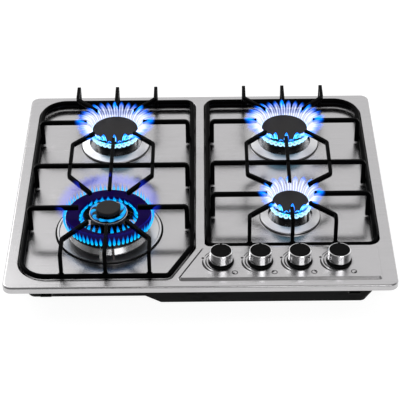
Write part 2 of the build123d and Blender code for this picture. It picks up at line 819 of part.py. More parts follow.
def end_fingers(ring, way, kink, tip, line_y, wire):
    """The bars at one end of a support: straight, slanting and sideways fingers."""
    face = abs(line_y - ring.y) - LEG_BITE
    bars = [straight_finger(ring, QUARTER_TURN * way, tip, face)]
    bars += [side_finger(ring, hand, way, kink, face) for hand in (-1, 1)]
    bars += [straight_finger(ring, turn, ring.side_tip, LEG_FACE) for turn in (0.0, 180.0)]
    with BuildPart() as fingers:
        for bar in bars:
            add(bar)
        add(wire.part, mode=Mode.SUBTRACT)
    return fingers


def mid_frame(rear, front, mid_y, wire):
    """The middle cross bar on its two legs, with the three bars that run over it."""
    cross_corners = [
        (-LEG_FACE, LEG_Z),
        (-LEG_FACE, SUPPORT_TOP),
        (LEG_FACE, SUPPORT_TOP),
        (LEG_FACE, LEG_Z),
        (LEG_FACE - BAR_H, LEG_Z),
        (LEG_FACE - BAR_H, BAR_Z),
        (-LEG_FACE + BAR_H, BAR_Z),
        (-LEG_FACE + BAR_H, LEG_Z),
    ]
    cross_radii = [0, BAR_OUTER_R, BAR_OUTER_R, 0, 0, BAR_INNER_R, BAR_INNER_R, 0]
    with BuildPart() as frame:
        with BuildSketch(upright(rear.x, mid_y)):
            with BuildLine():
                FilletPolyline(*cross_corners, radius=cross_radii, close=True)
            make_face()
        extrude(amount=BAR_W / 2, both=True)
        with BuildSketch(Plane.XY.offset(BAR_Z)):
            with BuildLine():
                Line((rear.x, rear.y - rear.front_tip), (front.x, front.y + front.rear_tip))
            trace(line_width=BAR_W)
            for hand in (-1, 1):
                with BuildLine():
                    FilletPolyline(
                        slant_tip_point(rear, hand, -1, rear.front_kink),
                        (rear.x + hand * SIDE_BAR_X, rear.y - rear.front_kink),
                        (front.x + hand * SIDE_BAR_X, front.y + front.rear_kink),
                        slant_tip_point(front, hand, 1, front.rear_kink),
                        radius=KINK_R,
                    )
                trace(line_width=BAR_W)
        extrude(amount=BAR_H)
        add(wire.part, mode=Mode.SUBTRACT)
    return frame


def rubber_feet(spots, wire):
    """Soft feet under the rim wire, standing on the recess floor."""
    with BuildPart() as feet:
        with BuildSketch(Plane.XY.offset(FLOOR_Z)):
            with Locations(*spots):
                Circle(FOOT_R)
        extrude(amount=WIRE_Z - WIRE_R / 2 - FLOOR_Z)
        add(wire.part, mode=Mode.SUBTRACT)
    return feet


left_line = inset(LEFT_RECESS, WIRE_INSET)
left_wire = rim_wire(
    [(x, y, WIRE_Z) for x, y in left_line],
    [
        RECESS_WIDE_R - WIRE_INSET,
        RECESS_WIDE_R - WIRE_INSET,
        WIRE_TIGHT_R,
        WIRE_TIGHT_R,
        RECESS_SMALL_R - WIRE_INSET,
    ],
)
# The front of the right wire dips to the recess floor, out of sight behind the control area.
DIP_START_Y = RIGHT_FRONT_LINE + WIRE_DIP_START
DIP_END_Y = RIGHT_FRONT_LINE + WIRE_DIP_END
right_wire = rim_wire(
    [
        (WIRE_IN_X, WIRE_REAR_Y, WIRE_Z),
        (WIRE_IN_X, DIP_START_Y, WIRE_Z),
        (WIRE_IN_X, DIP_END_Y, WIRE_LOW_Z),
        (WIRE_IN_X, WIRE_RIGHT_FRONT_Y, WIRE_LOW_Z),
        (WIRE_OUT_X, WIRE_RIGHT_FRONT_Y, WIRE_LOW_Z),
        (WIRE_OUT_X, DIP_END_Y, WIRE_LOW_Z),
        (WIRE_OUT_X, DIP_START_Y, WIRE_Z),
        (WIRE_OUT_X, WIRE_REAR_Y, WIRE_Z),
    ],
    [
        RECESS_SMALL_R - WIRE_INSET,
        WIRE_DIP_R,
        WIRE_DIP_R,
        WIRE_TIGHT_R,
        RECESS_SMALL_R - WIRE_INSET,
        WIRE_DIP_R,
        WIRE_DIP_R,
        RECESS_WIDE_R - WIRE_INSET,
    ],
)
rear_left_ring = FingerRing(-SIDE_X, REAR_BURNER_Y, **REAR_TIPS)
rear_right_ring = FingerRing(SIDE_X, REAR_BURNER_Y, **REAR_TIPS)
triple_ring = FingerRing(-SIDE_X, TRIPLE_BURNER_Y, **TRIPLE_TIPS)
small_ring = FingerRing(SIDE_X, SMALL_BURNER_Y, **SMALL_TIPS)
SUPPORTS = (
    (
        "left_support",
        left_wire,
        rear_left_ring,
        triple_ring,
        MID_BAR_LEFT_Y,
        FRONT_LINE + WIRE_INSET,
        FOOT_FRONT_LEFT_Y,
        -1,
    ),
    (
        "right_support",
        right_wire,
        rear_right_ring,
        small_ring,
        MID_BAR_RIGHT_Y,
        WIRE_RIGHT_FRONT_Y,
        FOOT_FRONT_RIGHT_Y,
        1,
    ),
)
for name, wire, rear, front, mid_y, front_y, foot_y, hand in SUPPORTS:
    foot_spots = [
        (hand * x, y)
        for x in (WIRE_OUT_X - FOOT_SHIFT, WIRE_IN_X + FOOT_SHIFT)
        for y in (FOOT_REAR_Y, foot_y)
    ]
    rear_bars = end_fingers(rear, 1, rear.rear_kink, rear.rear_tip, WIRE_REAR_Y, wire)
    front_bars = end_fingers(front, -1, front.front_kink, front.front_tip, front_y, wire)
    write(wire, f"{name}_rim_wire")
    write(rear_bars, f"{name}_rear_fingers")
    write(front_bars, f"{name}_front_fingers")
    write(mid_frame(rear, front, mid_y, wire), f"{name}_mid_frame")
    write(rubber_feet(foot_spots, wire), f"{name}_feet")

# ================================================================ burner pieces shared by all
DISH_HOLE_GAP = 0.4


def turned(x, y, outline):
    """Solid of revolution about the upright axis at x, y from radius and height pairs."""
    with BuildPart() as body:
        with BuildSketch(upright(x, y)):
            with BuildLine():
                Polyline(*outline, close=True)
            make_face()
        revolve(axis=Axis((x, y, 0), (0, 0, 1)))
    return body.part


def burner_cup(x, y, cup_r, flange_r, riser, holes, pipe_turn):
    """Cup hanging from its flange on the recess floor, with the injector boss below."""
    cup_in = cup_r - CUP_WALL
    boss_floor = BOSS_BASE_Z + CUP_BOSS_SKIN
    outline = [
        (0, BOSS_BASE_Z),
        (CUP_BOSS_R, BOSS_BASE_Z),
        (CUP_BOSS_R, CUP_BASE_Z),
        (cup_r, CUP_BASE_Z),
        (cup_r, FLOOR_Z),
        (flange_r, FLOOR_Z),
        (flange_r, FLANGE_Z),
        *riser,
        (cup_in, FLANGE_Z),
        (cup_in, CUP_FLOOR_Z),
        (INJECTOR_R, CUP_FLOOR_Z),
        (INJECTOR_R, boss_floor),
        (0, boss_floor),
    ]
    blank = turned(x, y, outline)
    pipe_way = (cos(radians(pipe_turn)), sin(radians(pipe_turn)), 0)
    with BuildPart() as cup:
        add(blank)
        with BuildSketch(Plane(origin=(x, y, PIPE_Z), z_dir=pipe_way)):
            Circle(PIPE_R)
        extrude(amount=CUP_BOSS_R, mode=Mode.SUBTRACT)
        with BuildSketch(Plane.XY.offset(FLOOR_Z)):
            for spot, r in holes:
                with Locations(spot):
                    Circle(r)
        extrude(amount=CUP_FLANGE, mode=Mode.SUBTRACT)
    return cup


def ported(blank, x, y, top, rings):
    """Cut rings of flame ports (ring radius, wall, width, count) down from a crown's top."""
    with BuildPart() as crown:
        add(blank)
        with BuildSketch(Plane.XY.offset(top - PORT_H)):
            with Locations((x, y)):
                for ring, wall, width, count in rings:
                    with PolarLocations(ring, count):
                        Rectangle(wall + PORT_OVERCUT, width)
        extrude(amount=PORT_H, mode=Mode.SUBTRACT)
    return crown


def cap(x, y, top, hole_r, outer_r, lip_r, height):
    """Cap resting on a crown's top, with a lip inside the crown to centre it."""
    outline = [
        (hole_r, top),
        (lip_r - CAP_LIP_W, top),
        (lip_r - CAP_LIP_W, top - CAP_LIP_H),
        (lip_r, top - CAP_LIP_H),
        (lip_r, top),
        (outer_r, top),
        (outer_r, top + height),
        (hole_r, top + height),
    ]
    blank = turned(x, y, outline)
    with BuildPart() as piece:
        add(blank)
        fillet(piece.faces().sort_by(Axis.Z)[-1].edges(), CAP_EDGE_R)
    return piece


def dish(x, y, outline, holes):
    """Polished trim dish on the recess floor round a burner."""
    blank = turned(x, y, outline)
    with BuildPart() as piece:
        add(blank)
        if holes:
            with BuildSketch(Plane.XY.offset(FLOOR_Z)):
                for spot, r in holes:
                    with Locations(spot):
                        Circle(r)
            extrude(amount=TRIPLE_DISH_BEAD, mode=Mode.SUBTRACT)
    return piece


# ================================================================ the three ordinary burners
for b, pipe_turn in ((REAR_LEFT, 0.0), (REAR_RIGHT, 180.0), (SMALL, 0.0)):
    top = FLOOR_Z + b.crown_rise
    throat_out = THROAT_R + THROAT_WALL
    throat_z = FLANGE_Z - THROAT_DROP
    hollow_z = FLANGE_Z + CROWN_HOLLOW
    skirt_in = b.base_r - CROWN_SKIRT
    chamber_r = b.crown_r - CROWN_WALL
    crown_outline = [
        (THROAT_R, throat_z),
        (throat_out, throat_z),
        (throat_out, hollow_z),
        (skirt_in, hollow_z),
        (skirt_in, FLANGE_Z),
        (b.base_r, FLANGE_Z),
        (b.base_r, top - CROWN_FLARE_Z),
        (b.crown_r, top - CROWN_BAND),
        (b.crown_r, top),
        (chamber_r, top),
        (chamber_r, top - CHAMBER_DEPTH),
        (THROAT_R, top - CHAMBER_DEPTH - CHAMBER_FALL),
    ]
    dish_hole = b.flange_r + DISH_HOLE_GAP
    dish_outline = [
        (b.dish_r, FLOOR_Z),
        (b.dish_r, FLOOR_Z + DISH_RIM),
        (dish_hole, FLOOR_Z + DISH_RISE),
        (dish_hole, FLOOR_Z + DISH_RISE - DISH_SHEET),
        (b.dish_r - DISH_SHEET, FLOOR_Z + DISH_RIM - DISH_SHEET),
        (b.dish_r - DISH_SHEET, FLOOR_Z),
    ]
    cup_holes = [
        (around(b.x, b.y, b.probe_ring, b.electrode_turn), CERAMIC_R),
        (around(b.x, b.y, b.probe_ring, b.probe_turn), PROBE_R),
    ]
    cup_holes += [(around(b.x, b.y, b.screw_ring, turn), CUP_SCREW_R) for turn in SCREW_TURNS]
    port_ring = [(b.crown_r - CROWN_WALL / 2, CROWN_WALL, PORT_W, b.port_count)]
    lip_r = chamber_r - CAP_LIP_GAP
    write(burner_cup(b.x, b.y, b.cup_r, b.flange_r, [], cup_holes, pipe_turn), f"{b.name}_cup")
    write(dish(b.x, b.y, dish_outline, []), f"{b.name}_trim_dish")
    write(ported(turned(b.x, b.y, crown_outline), b.x, b.y, top, port_ring), f"{b.name}_crown")
    write(cap(b.x, b.y, top, 0, b.cap_r, lip_r, CAP_H), f"{b.name}_cap")

# ================================================================ the triple burner
TX = -SIDE_X
TY = TRIPLE_BURNER_Y
RING_BASE_Z = FLOOR_Z + RING_BASE_RISE
RING_TOP_Z = FLOOR_Z + RING_TOP_RISE
PLATFORM_Z = FLOOR_Z + PLATFORM_RISE
INNER_TOP_Z = PLATFORM_Z + PLATFORM_H + INNER_CROWN_H
triple_cup_holes = [
    (around(TX, TY, TRIPLE_SCREW_RING, turn), CUP_SCREW_R) for turn in SCREW_TURNS
]
cone_riser = [
    (CONE_TOP_R, RING_BASE_Z),
    (CONE_TOP_R - CONE_WALL, RING_BASE_Z),
    (CONE_R - 2 * CONE_WALL, FLANGE_Z),
]
triple_cup = burner_cup(TX, TY, TRIPLE_CUP_R, CONE_R, cone_riser, triple_cup_holes, 0.0)
write(triple_cup, "triple_cup")

triple_dish_hole = CONE_R + TRIPLE_DISH_HOLE_GAP
triple_dish_outline = [
    (TRIPLE_DISH_R, FLOOR_Z),
    (TRIPLE_DISH_R, FLOOR_Z + TRIPLE_BEAD_H),
    (TRIPLE_DISH_R - TRIPLE_BEAD_H, FLOOR_Z + TRIPLE_BEAD_H),
    (TRIPLE_DISH_R - TRIPLE_DISH_BEAD, FLOOR_Z + DISH_SHEET),
    (triple_dish_hole, FLOOR_Z + DISH_SHEET),
    (triple_dish_hole, FLOOR_Z),
]
triple_electrode = around(TX, TY, TRIPLE_PROBE_R, TRIPLE_ELECTRODE_TURN)
triple_probe = around(TX, TY, TRIPLE_PROBE_R, TRIPLE_PROBE_TURN)
dish_holes = [(triple_electrode, CERAMIC_R), (triple_probe, PROBE_R)]
write(dish(TX, TY, triple_dish_outline, dish_holes), "triple_trim_dish")

ring_outline = [
    (RING_HOLE_R, RING_BASE_Z),
    (RING_R - RING_TAPER, RING_BASE_Z),
    (RING_R, RING_BASE_Z + RING_TAPER),
    (RING_R, RING_TOP_Z),
    (RING_R - RING_WALL, RING_TOP_Z),
    (RING_R - RING_WALL, RING_BASE_Z + RING_TAPER + RING_FLOOR),
    (RING_HOLE_R + RING_WALL, RING_BASE_Z + RING_TAPER),
    (RING_HOLE_R + RING_WALL, RING_TOP_Z),
    (RING_HOLE_R, RING_TOP_Z),
]
hub_outline = [
    (HUB_BORE_R, FLANGE_Z - THROAT_DROP),
    (HUB_R, FLANGE_Z - THROAT_DROP),
    (HUB_R, PLATFORM_Z - PLATFORM_H),
    (PLATFORM_R, PLATFORM_Z),
    (PLATFORM_R, PLATFORM_Z + PLATFORM_H),
    (INNER_CROWN_R, PLATFORM_Z + PLATFORM_H),
    (INNER_CROWN_R, INNER_TOP_Z),
    (INNER_CROWN_R - CROWN_WALL, INNER_TOP_Z),
    (INNER_CROWN_R - CROWN_WALL, PLATFORM_Z + PLATFORM_H),
    (HUB_BORE_R, PLATFORM_Z + PLATFORM_H),
]
triple_ring_blank = turned(TX, TY, ring_outline)
triple_hub_blank = turned(TX, TY, hub_outline)
ARM_L = RING_HOLE_R - HUB_R + RING_WALL
with BuildPart() as triple_blank:
    add(triple_ring_blank)
    add(triple_hub_blank)
    with BuildSketch(Plane.XY.offset(RING_BASE_Z)):
        with Locations((TX, TY)):
            with PolarLocations((RING_HOLE_R + HUB_R) / 2, ARM_COUNT):
                Rectangle(ARM_L, ARM_W)
    extrude(amount=ARM_H)
ring_ports = [
    (RING_R - RING_WALL / 2, RING_WALL, RING_PORT_W, RING_PORTS),
    (RING_HOLE_R + RING_WALL / 2, RING_WALL, RING_PORT_W, RING_INNER_PORTS),
]
hub_ports = [(INNER_CROWN_R - CROWN_WALL / 2, CROWN_WALL, RING_PORT_W, INNER_PORTS)]
ring_ported = ported(triple_blank.part, TX, TY, RING_TOP_Z, ring_ports)
triple_crown = ported(ring_ported.part, TX, TY, INNER_TOP_Z, hub_ports)
write(triple_crown, "triple_crown")

ring_lip_r = RING_R - RING_WALL - CAP_LIP_GAP
write(cap(TX, TY, RING_TOP_Z, RING_CAP_HOLE_R, RING_CAP_R, ring_lip_r, CAP_H), "triple_ring_cap")
inner_lip_r = INNER_CROWN_R - CROWN_WALL - CAP_LIP_GAP
write(cap(TX, TY, INNER_TOP_Z, 0, INNER_CAP_R, inner_lip_r, INNER_CAP_H), "triple_inner_cap")

# ================================================================ injectors, screws, electrodes, probes
CUP_CENTRES = [(b.x, b.y) for b in BURNERS] + [(TX, TY)]

with BuildPart() as injectors:
    with BuildSketch(Plane.XY.offset(CUP_FLOOR_Z)):
        with Locations(*CUP_CENTRES):
            RegularPolygon(INJECTOR_HEX_R, 6)
    extrude(amount=INJECTOR_HEX_H)
    with BuildSketch(Plane.XY.offset(CUP_FLOOR_Z - INJECTOR_THREAD_L)):
        with Locations(*CUP_CENTRES):
            Circle(INJECTOR_R)
    extrude(amount=INJECTOR_THREAD_L)
    with BuildSketch(Plane.XY.offset(CUP_FLOOR_Z + INJECTOR_HEX_H)):
        with Locations(*CUP_CENTRES):
            Circle(INJECTOR_R)
    extrude(amount=INJECTOR_NOSE_L, taper=INJECTOR_NOSE_LEAN)
    with BuildSketch(Plane.XY.offset(CUP_FLOOR_Z - INJECTOR_THREAD_L)):
        with Locations(*CUP_CENTRES):
            Circle(JET_R)
    extrude(amount=INJECTOR_THREAD_L + INJECTOR_HEX_H + INJECTOR_NOSE_L, mode=Mode.SUBTRACT)
write(injectors, "injectors")

with BuildPart() as cup_screws:
    with BuildSketch(Plane.XY.offset(FLANGE_Z)):
        with Locations(*screw_spots):
            Circle(CUP_SCREW_HEAD_R)
    extrude(amount=CUP_SCREW_HEAD_H)
    with BuildSketch(Plane.XY.offset(FLANGE_Z - CUP_SCREW_L)):
        with Locations(*screw_spots):
            Circle(CUP_SCREW_R)
    extrude(amount=CUP_SCREW_L)
write(cup_screws, "cup_screws")

with BuildPart() as electrodes:
    with BuildSketch(Plane.XY.offset(FLOOR_Z - CERAMIC_DROP)):
        with Locations(*electrode_spots):
            Circle(CERAMIC_R)
            Circle(PIN_R, mode=Mode.SUBTRACT)
    extrude(amount=CERAMIC_DROP + ELECTRODE_RISE)
write(electrodes, "ignition_electrodes")

with BuildPart() as electrode_pins:
    with BuildSketch(Plane.XY.offset(FLOOR_Z - CERAMIC_DROP - PIN_TAIL)):
        with Locations(*electrode_spots):
            Circle(PIN_R)
    extrude(amount=CERAMIC_DROP + ELECTRODE_RISE + PIN_TAIL + PIN_TIP)
write(electrode_pins, "electrode_pins")

with BuildPart() as flame_probes:
    with BuildSketch(Plane.XY.offset(FLOOR_Z - CERAMIC_DROP)):
        with Locations(*probe_spots):
            Circle(PROBE_R)
    extrude(amount=CERAMIC_DROP + PROBE_RISE)
    with BuildSketch(Plane.XY.offset(FLOOR_Z - CERAMIC_DROP - PROBE_NUT_H)):
        with Locations(*probe_spots):
            RegularPolygon(PROBE_NUT_R, 6)
    extrude(amount=PROBE_NUT_H)
write(flame_probes, "flame_probes")

# ================================================================ inlet and taps
POCKET_FLOOR_Z = POCKET_RISE + TRAY_SHEET
INLET_NUT_Z = INLET_END_Z + INLET_THREAD_L

with BuildPart() as inlet_elbow:
    with BuildSketch(Plane.XY.offset(POCKET_FLOOR_Z)):
        with Locations((MANIFOLD_RIGHT_X, INLET_Y)):
            Circle(INLET_BODY_R)
    extrude(amount=INLET_TOP - POCKET_FLOOR_Z)
    with BuildSketch(Plane.XY.offset(INLET_NUT_Z)):
        with Locations((MANIFOLD_RIGHT_X, INLET_Y)):
            RegularPolygon(INLET_NUT_R, 6)
    extrude(amount=POCKET_RISE - INLET_NUT_Z)
    with BuildSketch(Plane.XY.offset(INLET_END_Z)):
        with Locations((MANIFOLD_RIGHT_X, INLET_Y)):
            Circle(INLET_THREAD_R)
    extrude(amount=POCKET_FLOOR_Z - INLET_END_Z)
    with BuildSketch(Plane.XY.offset(INLET_END_Z)):
        with Locations((MANIFOLD_RIGHT_X, INLET_Y)):
            Circle(INLET_BORE_R)
    extrude(amount=MANIFOLD_REAR_Z - INLET_END_Z, mode=Mode.SUBTRACT)
    add(gas_manifold.part, mode=Mode.SUBTRACT)
write(inlet_elbow, "inlet_elbow")

with BuildPart() as tap_bodies:
    for x in KNOB_X:
        tap_centre = (x, KNOB_Y)
        with BuildSketch(Plane.XY.offset(MANIFOLD_Z)):
            with Locations(tap_centre):
                Rectangle(TAP_SADDLE_W, 2 * (MANIFOLD_R + TAP_SADDLE_WALL))
        extrude(amount=TAP_SADDLE_H)
        with BuildSketch(Plane.XY.offset(MANIFOLD_Z)):
            with Locations(tap_centre):
                Circle(TAP_R)
        extrude(amount=TAP_TOP - MANIFOLD_Z)
        with BuildSketch(Plane((x, KNOB_Y, TAP_OUTLET_Z), z_dir=(0, 1, 0))):
            Circle(TAP_OUTLET_R)
        extrude(amount=TAP_OUTLET_L)
        with BuildSketch(Plane((x, KNOB_Y, TAP_OUTLET_Z), z_dir=(0, 1, 0))):
            Circle(TAP_PASSAGE_R)
        extrude(amount=TAP_OUTLET_L, mode=Mode.SUBTRACT)
        with BuildSketch(Plane((x, KNOB_Y + TAP_OUTLET_L, TAP_OUTLET_Z), z_dir=(0, -1, 0))):
            Circle(PIPE_R)
        extrude(amount=PIPE_SEAT, mode=Mode.SUBTRACT)
        with BuildSketch(Plane.XY.offset(MANIFOLD_Z)):
            with Locations(tap_centre):
                Circle(TAP_PASSAGE_R)
        extrude(amount=TAP_TOP - MANIFOLD_Z, mode=Mode.SUBTRACT)
        with BuildSketch(Plane.XY.offset(TAP_TOP)):
            with Locations(tap_centre):
                Circle(PLUG_TOP_R + SPINDLE_GAP)
        extrude(amount=PLUG_BASE - TAP_TOP, taper=PLUG_LEAN, mode=Mode.SUBTRACT)
    add(gas_manifold.part, mode=Mode.SUBTRACT)
    with BuildSketch(Plane.XY.offset(TAP_TOP)):
        with Locations(*[(x, KNOB_Y) for x in KNOB_X]):
            Circle(TAP_R)
            Circle(SPINDLE_R + SPINDLE_GAP, mode=Mode.SUBTRACT)
    extrude(amount=BONNET_H)
write(tap_bodies, "tap_bodies")

# ================================================================ burner pipes
FIRST_RUN_Y = KNOB_Y + TAP_OUTLET_L - PIPE_SEAT
PIPE_FALL_Y = KNOB_Y + TAP_OUTLET_L + PIPE_LEVEL_RUN
PIPE_LOW_Y = PIPE_FALL_Y + PIPE_FALL_RUN
BOSS_STOP = INJECTOR_R + PIPE_END_GAP
TRIPLE_ROUTE = [
    (KNOB_X[0] - PIPE_SHIFT, PIPE_LOW_Y, PIPE_Z),
    (TX + TRIPLE_TURN_X, TY, PIPE_Z),
    (TX + BOSS_STOP, TY, PIPE_Z),
]
REAR_LEFT_ROUTE = [
    (KNOB_X[1] - PIPE_SHIFT, PIPE_LOW_Y, PIPE_Z),
    (CENTRE_PIPE_X, CENTRE_PIPE_Y, PIPE_Z),
    (CENTRE_PIPE_X, REAR_BURNER_Y, PIPE_Z),
    (REAR_LEFT.x + BOSS_STOP, REAR_BURNER_Y, PIPE_Z),
]
REAR_RIGHT_ROUTE = [
    (KNOB_X[2] - PIPE_SHIFT, PIPE_LOW_Y, PIPE_Z),
    (SECOND_PIPE_X, SECOND_PIPE_Y, PIPE_Z),
    (SECOND_PIPE_X, REAR_BURNER_Y, PIPE_Z),
    (REAR_RIGHT.x - BOSS_STOP, REAR_BURNER_Y, PIPE_Z),
]
SMALL_ROUTE = [
    (KNOB_X[3], PIPE_LOW_Y, PIPE_Z),
    (KNOB_X[3], SMALL_BURNER_Y, PIPE_Z),
    (SMALL.x + BOSS_STOP, SMALL_BURNER_Y, PIPE_Z),
]
ROUTES = (TRIPLE_ROUTE, REAR_LEFT_ROUTE, REAR_RIGHT_ROUTE, SMALL_ROUTE)

with BuildPart() as burner_pipes:
    for x, route in zip(KNOB_X, ROUTES):
        start = (x, FIRST_RUN_Y, TAP_OUTLET_Z)
        with BuildLine() as pipe_path:
            FilletPolyline(start, (x, PIPE_FALL_Y, TAP_OUTLET_Z), *route, radius=PIPE_BEND_R)
        with BuildSketch(Plane(start, z_dir=(0, 1, 0))):
            Circle(PIPE_R)
        sweep(path=pipe_path.line)
write(burner_pipes, "burner_pipes")

NUT_Y = KNOB_Y + TAP_OUTLET_L
with BuildPart() as pipe_nuts:
    for x in KNOB_X:
        with BuildSketch(Plane((x, NUT_Y, TAP_OUTLET_Z), z_dir=(0, 1, 0))):
            RegularPolygon(NUT_R, 6)
            Circle(PIPE_R, mode=Mode.SUBTRACT)
        extrude(amount=NUT_L)
write(pipe_nuts, "pipe_nuts")

# ================================================================ taps: plug and spindle
PLUG_SLOT_Z = PLUG_BASE + PLUG_H - PLUG_SLOT_H
TANG_Z = PLUG_BASE + PLUG_H - TANG_SINK
KNOB_Z = CONTROL_Z + KNOB_GAP
SPINDLE_TOP = KNOB_Z + SPINDLE_SINK
COLLAR_Z = TAP_TOP + BONNET_H + SPINDLE_COLLAR_LIFT
FLATS_TOP = PLUG_BASE + PLUG_H + PUSH + SPINDLE_COLLAR_H


def tap_plug(x):
    """Tapered plug with its drive slot on top and an elbow-shaped gas way."""
    with BuildPart() as plug:
        with BuildSketch(Plane.XY.offset(TAP_TOP)):
            with Locations((x, KNOB_Y)):
                Circle(PLUG_TOP_R)
        extrude(amount=PLUG_BASE + PLUG_FLOAT - TAP_TOP, taper=PLUG_LEAN)
        with BuildSketch(Plane.XY.offset(PLUG_BASE + PLUG_H)):
            with Locations((x, KNOB_Y)):
                Circle(2 * PLUG_TOP_R)
        extrude(amount=TAP_TOP, mode=Mode.SUBTRACT)
        with BuildSketch(Plane.XY.offset(PLUG_SLOT_Z)):
            with Locations((x, KNOB_Y)):
                Rectangle(PLUG_SLOT_W, 3 * PLUG_TOP_R)
        extrude(amount=PLUG_SLOT_H, mode=Mode.SUBTRACT)
        with BuildSketch(Plane.XY.offset(PLUG_BASE)):
            with Locations((x, KNOB_Y)):
                Circle(TAP_PASSAGE_R)
        extrude(amount=TAP_OUTLET_Z - PLUG_BASE, mode=Mode.SUBTRACT)
        with BuildSketch(Plane((x, KNOB_Y, TAP_OUTLET_Z), z_dir=(1, 0, 0))):
            Circle(TAP_PASSAGE_R)
        extrude(amount=2 * PLUG_TOP_R, mode=Mode.SUBTRACT)
    return plug


def tap_spindle(x):
    """Spindle with a tang for the plug's slot, a spring collar and a flat for the knob."""
    tang_half = (PLUG_SLOT_W - 2 * SPINDLE_GAP) / 2
    with BuildPart() as spindle:
        with BuildSketch(Plane.XY.offset(TANG_Z)):
            with Locations((x, KNOB_Y)):
                Circle(SPINDLE_R)
        extrude(amount=SPINDLE_TOP - TANG_Z)
        with BuildSketch(Plane.XY.offset(COLLAR_Z)):
            with Locations((x, KNOB_Y)):
                Circle(SPINDLE_COLLAR_R)
        extrude(amount=SPINDLE_COLLAR_H)
        with BuildSketch(Plane.XY.offset(TANG_Z)):
            for hand in (-1, 1):
                with Locations((x + hand * (tang_half + SPINDLE_R), KNOB_Y)):
                    Rectangle(2 * SPINDLE_R, 3 * SPINDLE_R)
        extrude(amount=FLATS_TOP - TANG_Z, mode=Mode.SUBTRACT)
        with BuildSketch(Plane.XY.offset(CONTROL_Z)):
            with Locations((x, KNOB_Y - SPINDLE_FLAT - SPINDLE_R)):
                Rectangle(3 * SPINDLE_R, 2 * SPINDLE_R)
        extrude(amount=SPINDLE_TOP - CONTROL_Z, mode=Mode.SUBTRACT)
    return spindle


# ================================================================ knobs
KNOB_TOP = KNOB_Z + KNOB_H
DISC_SEAT_R = KNOB_R - KNOB_RIM
DISC_Z = KNOB_TOP - KNOB_DISC_H


def knob_body(x):
    """Hollow metal knob with a spindle hub, a seat for its disc and a notch for the pointer."""
    outline = [
        (0, DISC_Z),
        (DISC_SEAT_R, DISC_Z),
        (DISC_SEAT_R, KNOB_TOP),
        (KNOB_R - KNOB_EDGE, KNOB_TOP),
        (KNOB_R, KNOB_TOP - KNOB_EDGE),
        (KNOB_FOOT_R, KNOB_Z),
        (KNOB_FOOT_R - KNOB_WALL, KNOB_Z),
        (KNOB_FOOT_R - KNOB_WALL, KNOB_TOP - KNOB_ROOF),
        (KNOB_HUB_R, KNOB_TOP - KNOB_ROOF),
        (KNOB_HUB_R, KNOB_Z),
        (0, KNOB_Z),
    ]
    blank = turned(x, KNOB_Y, outline)
    with BuildPart() as knob:
        add(blank)
        with BuildSketch(Plane.XY.offset(KNOB_Z)):
            with Locations((x, KNOB_Y)):
                Circle(SPINDLE_R + SPINDLE_GAP)
            with Locations((x, KNOB_Y - SPINDLE_FLAT - SPINDLE_GAP - SPINDLE_R)):
                Rectangle(3 * SPINDLE_R, 2 * SPINDLE_R, mode=Mode.SUBTRACT)
        extrude(amount=SPINDLE_SINK + SPINDLE_GAP, mode=Mode.SUBTRACT)
        with BuildSketch(Plane.XY.offset(DISC_Z)):
            with Locations((x, KNOB_Y + KNOB_R)):
                Rectangle(POINTER_W, 4 * KNOB_RIM)
        extrude(amount=KNOB_DISC_H, mode=Mode.SUBTRACT)
    return knob


def knob_disc(x):
    """Dark disc let into the knob's top, with a pointer that runs out over the rim."""
    pointer_l = KNOB_R + POINTER_OUT - DISC_SEAT_R + KNOB_RIM
    with BuildPart() as disc:
        with BuildSketch(Plane.XY.offset(DISC_Z)):
            with Locations((x, KNOB_Y)):
                Circle(DISC_SEAT_R)
            with Locations((x, KNOB_Y + KNOB_R + POINTER_OUT - pointer_l / 2)):
                Rectangle(POINTER_W, pointer_l)
        extrude(amount=KNOB_DISC_H + KNOB_DISC_PROUD)
    return disc


gasket_outline = [
    (GASKET_HOLE_R, CONTROL_Z),
    (GASKET_R, CONTROL_Z),
    (GASKET_R, CONTROL_Z + GASKET_H - GASKET_EDGE),
    (GASKET_R - GASKET_EDGE, CONTROL_Z + GASKET_H),
    (GASKET_COLLAR_R, CONTROL_Z + GASKET_H),
    (GASKET_COLLAR_R, CONTROL_Z + GASKET_H + GASKET_COLLAR_H),
    (GASKET_COLLAR_R - GASKET_WALL, CONTROL_Z + GASKET_H + GASKET_COLLAR_H),
    (GASKET_COLLAR_R - GASKET_WALL, CONTROL_Z + GASKET_H),
    (GASKET_HOLE_R, CONTROL_Z + GASKET_H),
]
gasket_rings = [turned(x, KNOB_Y, gasket_outline) for x in KNOB_X]
with BuildPart() as knob_gaskets:
    for ring in gasket_rings:
        add(ring)
write(knob_gaskets, "knob_gaskets")

for number, x in enumerate(KNOB_X, start=1):
    write(tap_plug(x), f"tap_plug_{number}")
    write(tap_spindle(x), f"tap_spindle_{number}")
    write(knob_body(x), f"knob_{number}")
    write(knob_disc(x), f"knob_disc_{number}")

# ================================================================ spark box
with BuildPart() as spark_box:
    with BuildSketch(Plane.XY.offset(TRAY_SHEET)):
        with Locations((SPARK_BOX_X, SPARK_BOX_Y)):
            RectangleRounded(SPARK_BOX_W, SPARK_BOX_D, SPARK_BOX_CORNER_R)
    extrude(amount=SPARK_BOX_H)
    with BuildSketch(Plane.XY.offset(TRAY_SHEET + SPARK_BOX_H)):
        with Locations((SPARK_BOX_X, SPARK_BOX_Y)):
            with GridLocations(SPARK_POST_PITCH, 1, SPARK_POSTS, 1):
                Circle(SPARK_POST_R)
    extrude(amount=SPARK_POST_H)
write(spark_box, "spark_box")
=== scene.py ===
# %% [markdown]
# # Dressing a gas cooktop
# The solids of this cooktop come from a CAD program and arrive here as a fixed frame: every
# node already has its true size and place. Blender adds what makes them look real, which is
# finish, small rounded edges, printed marks and the flames. Positions below are given in
# millimetres, as a maker would, and turned into Blender's metres by one helper.

# %% Load the frame
import json
from math import cos, hypot, pi, radians, sin, tan, tau

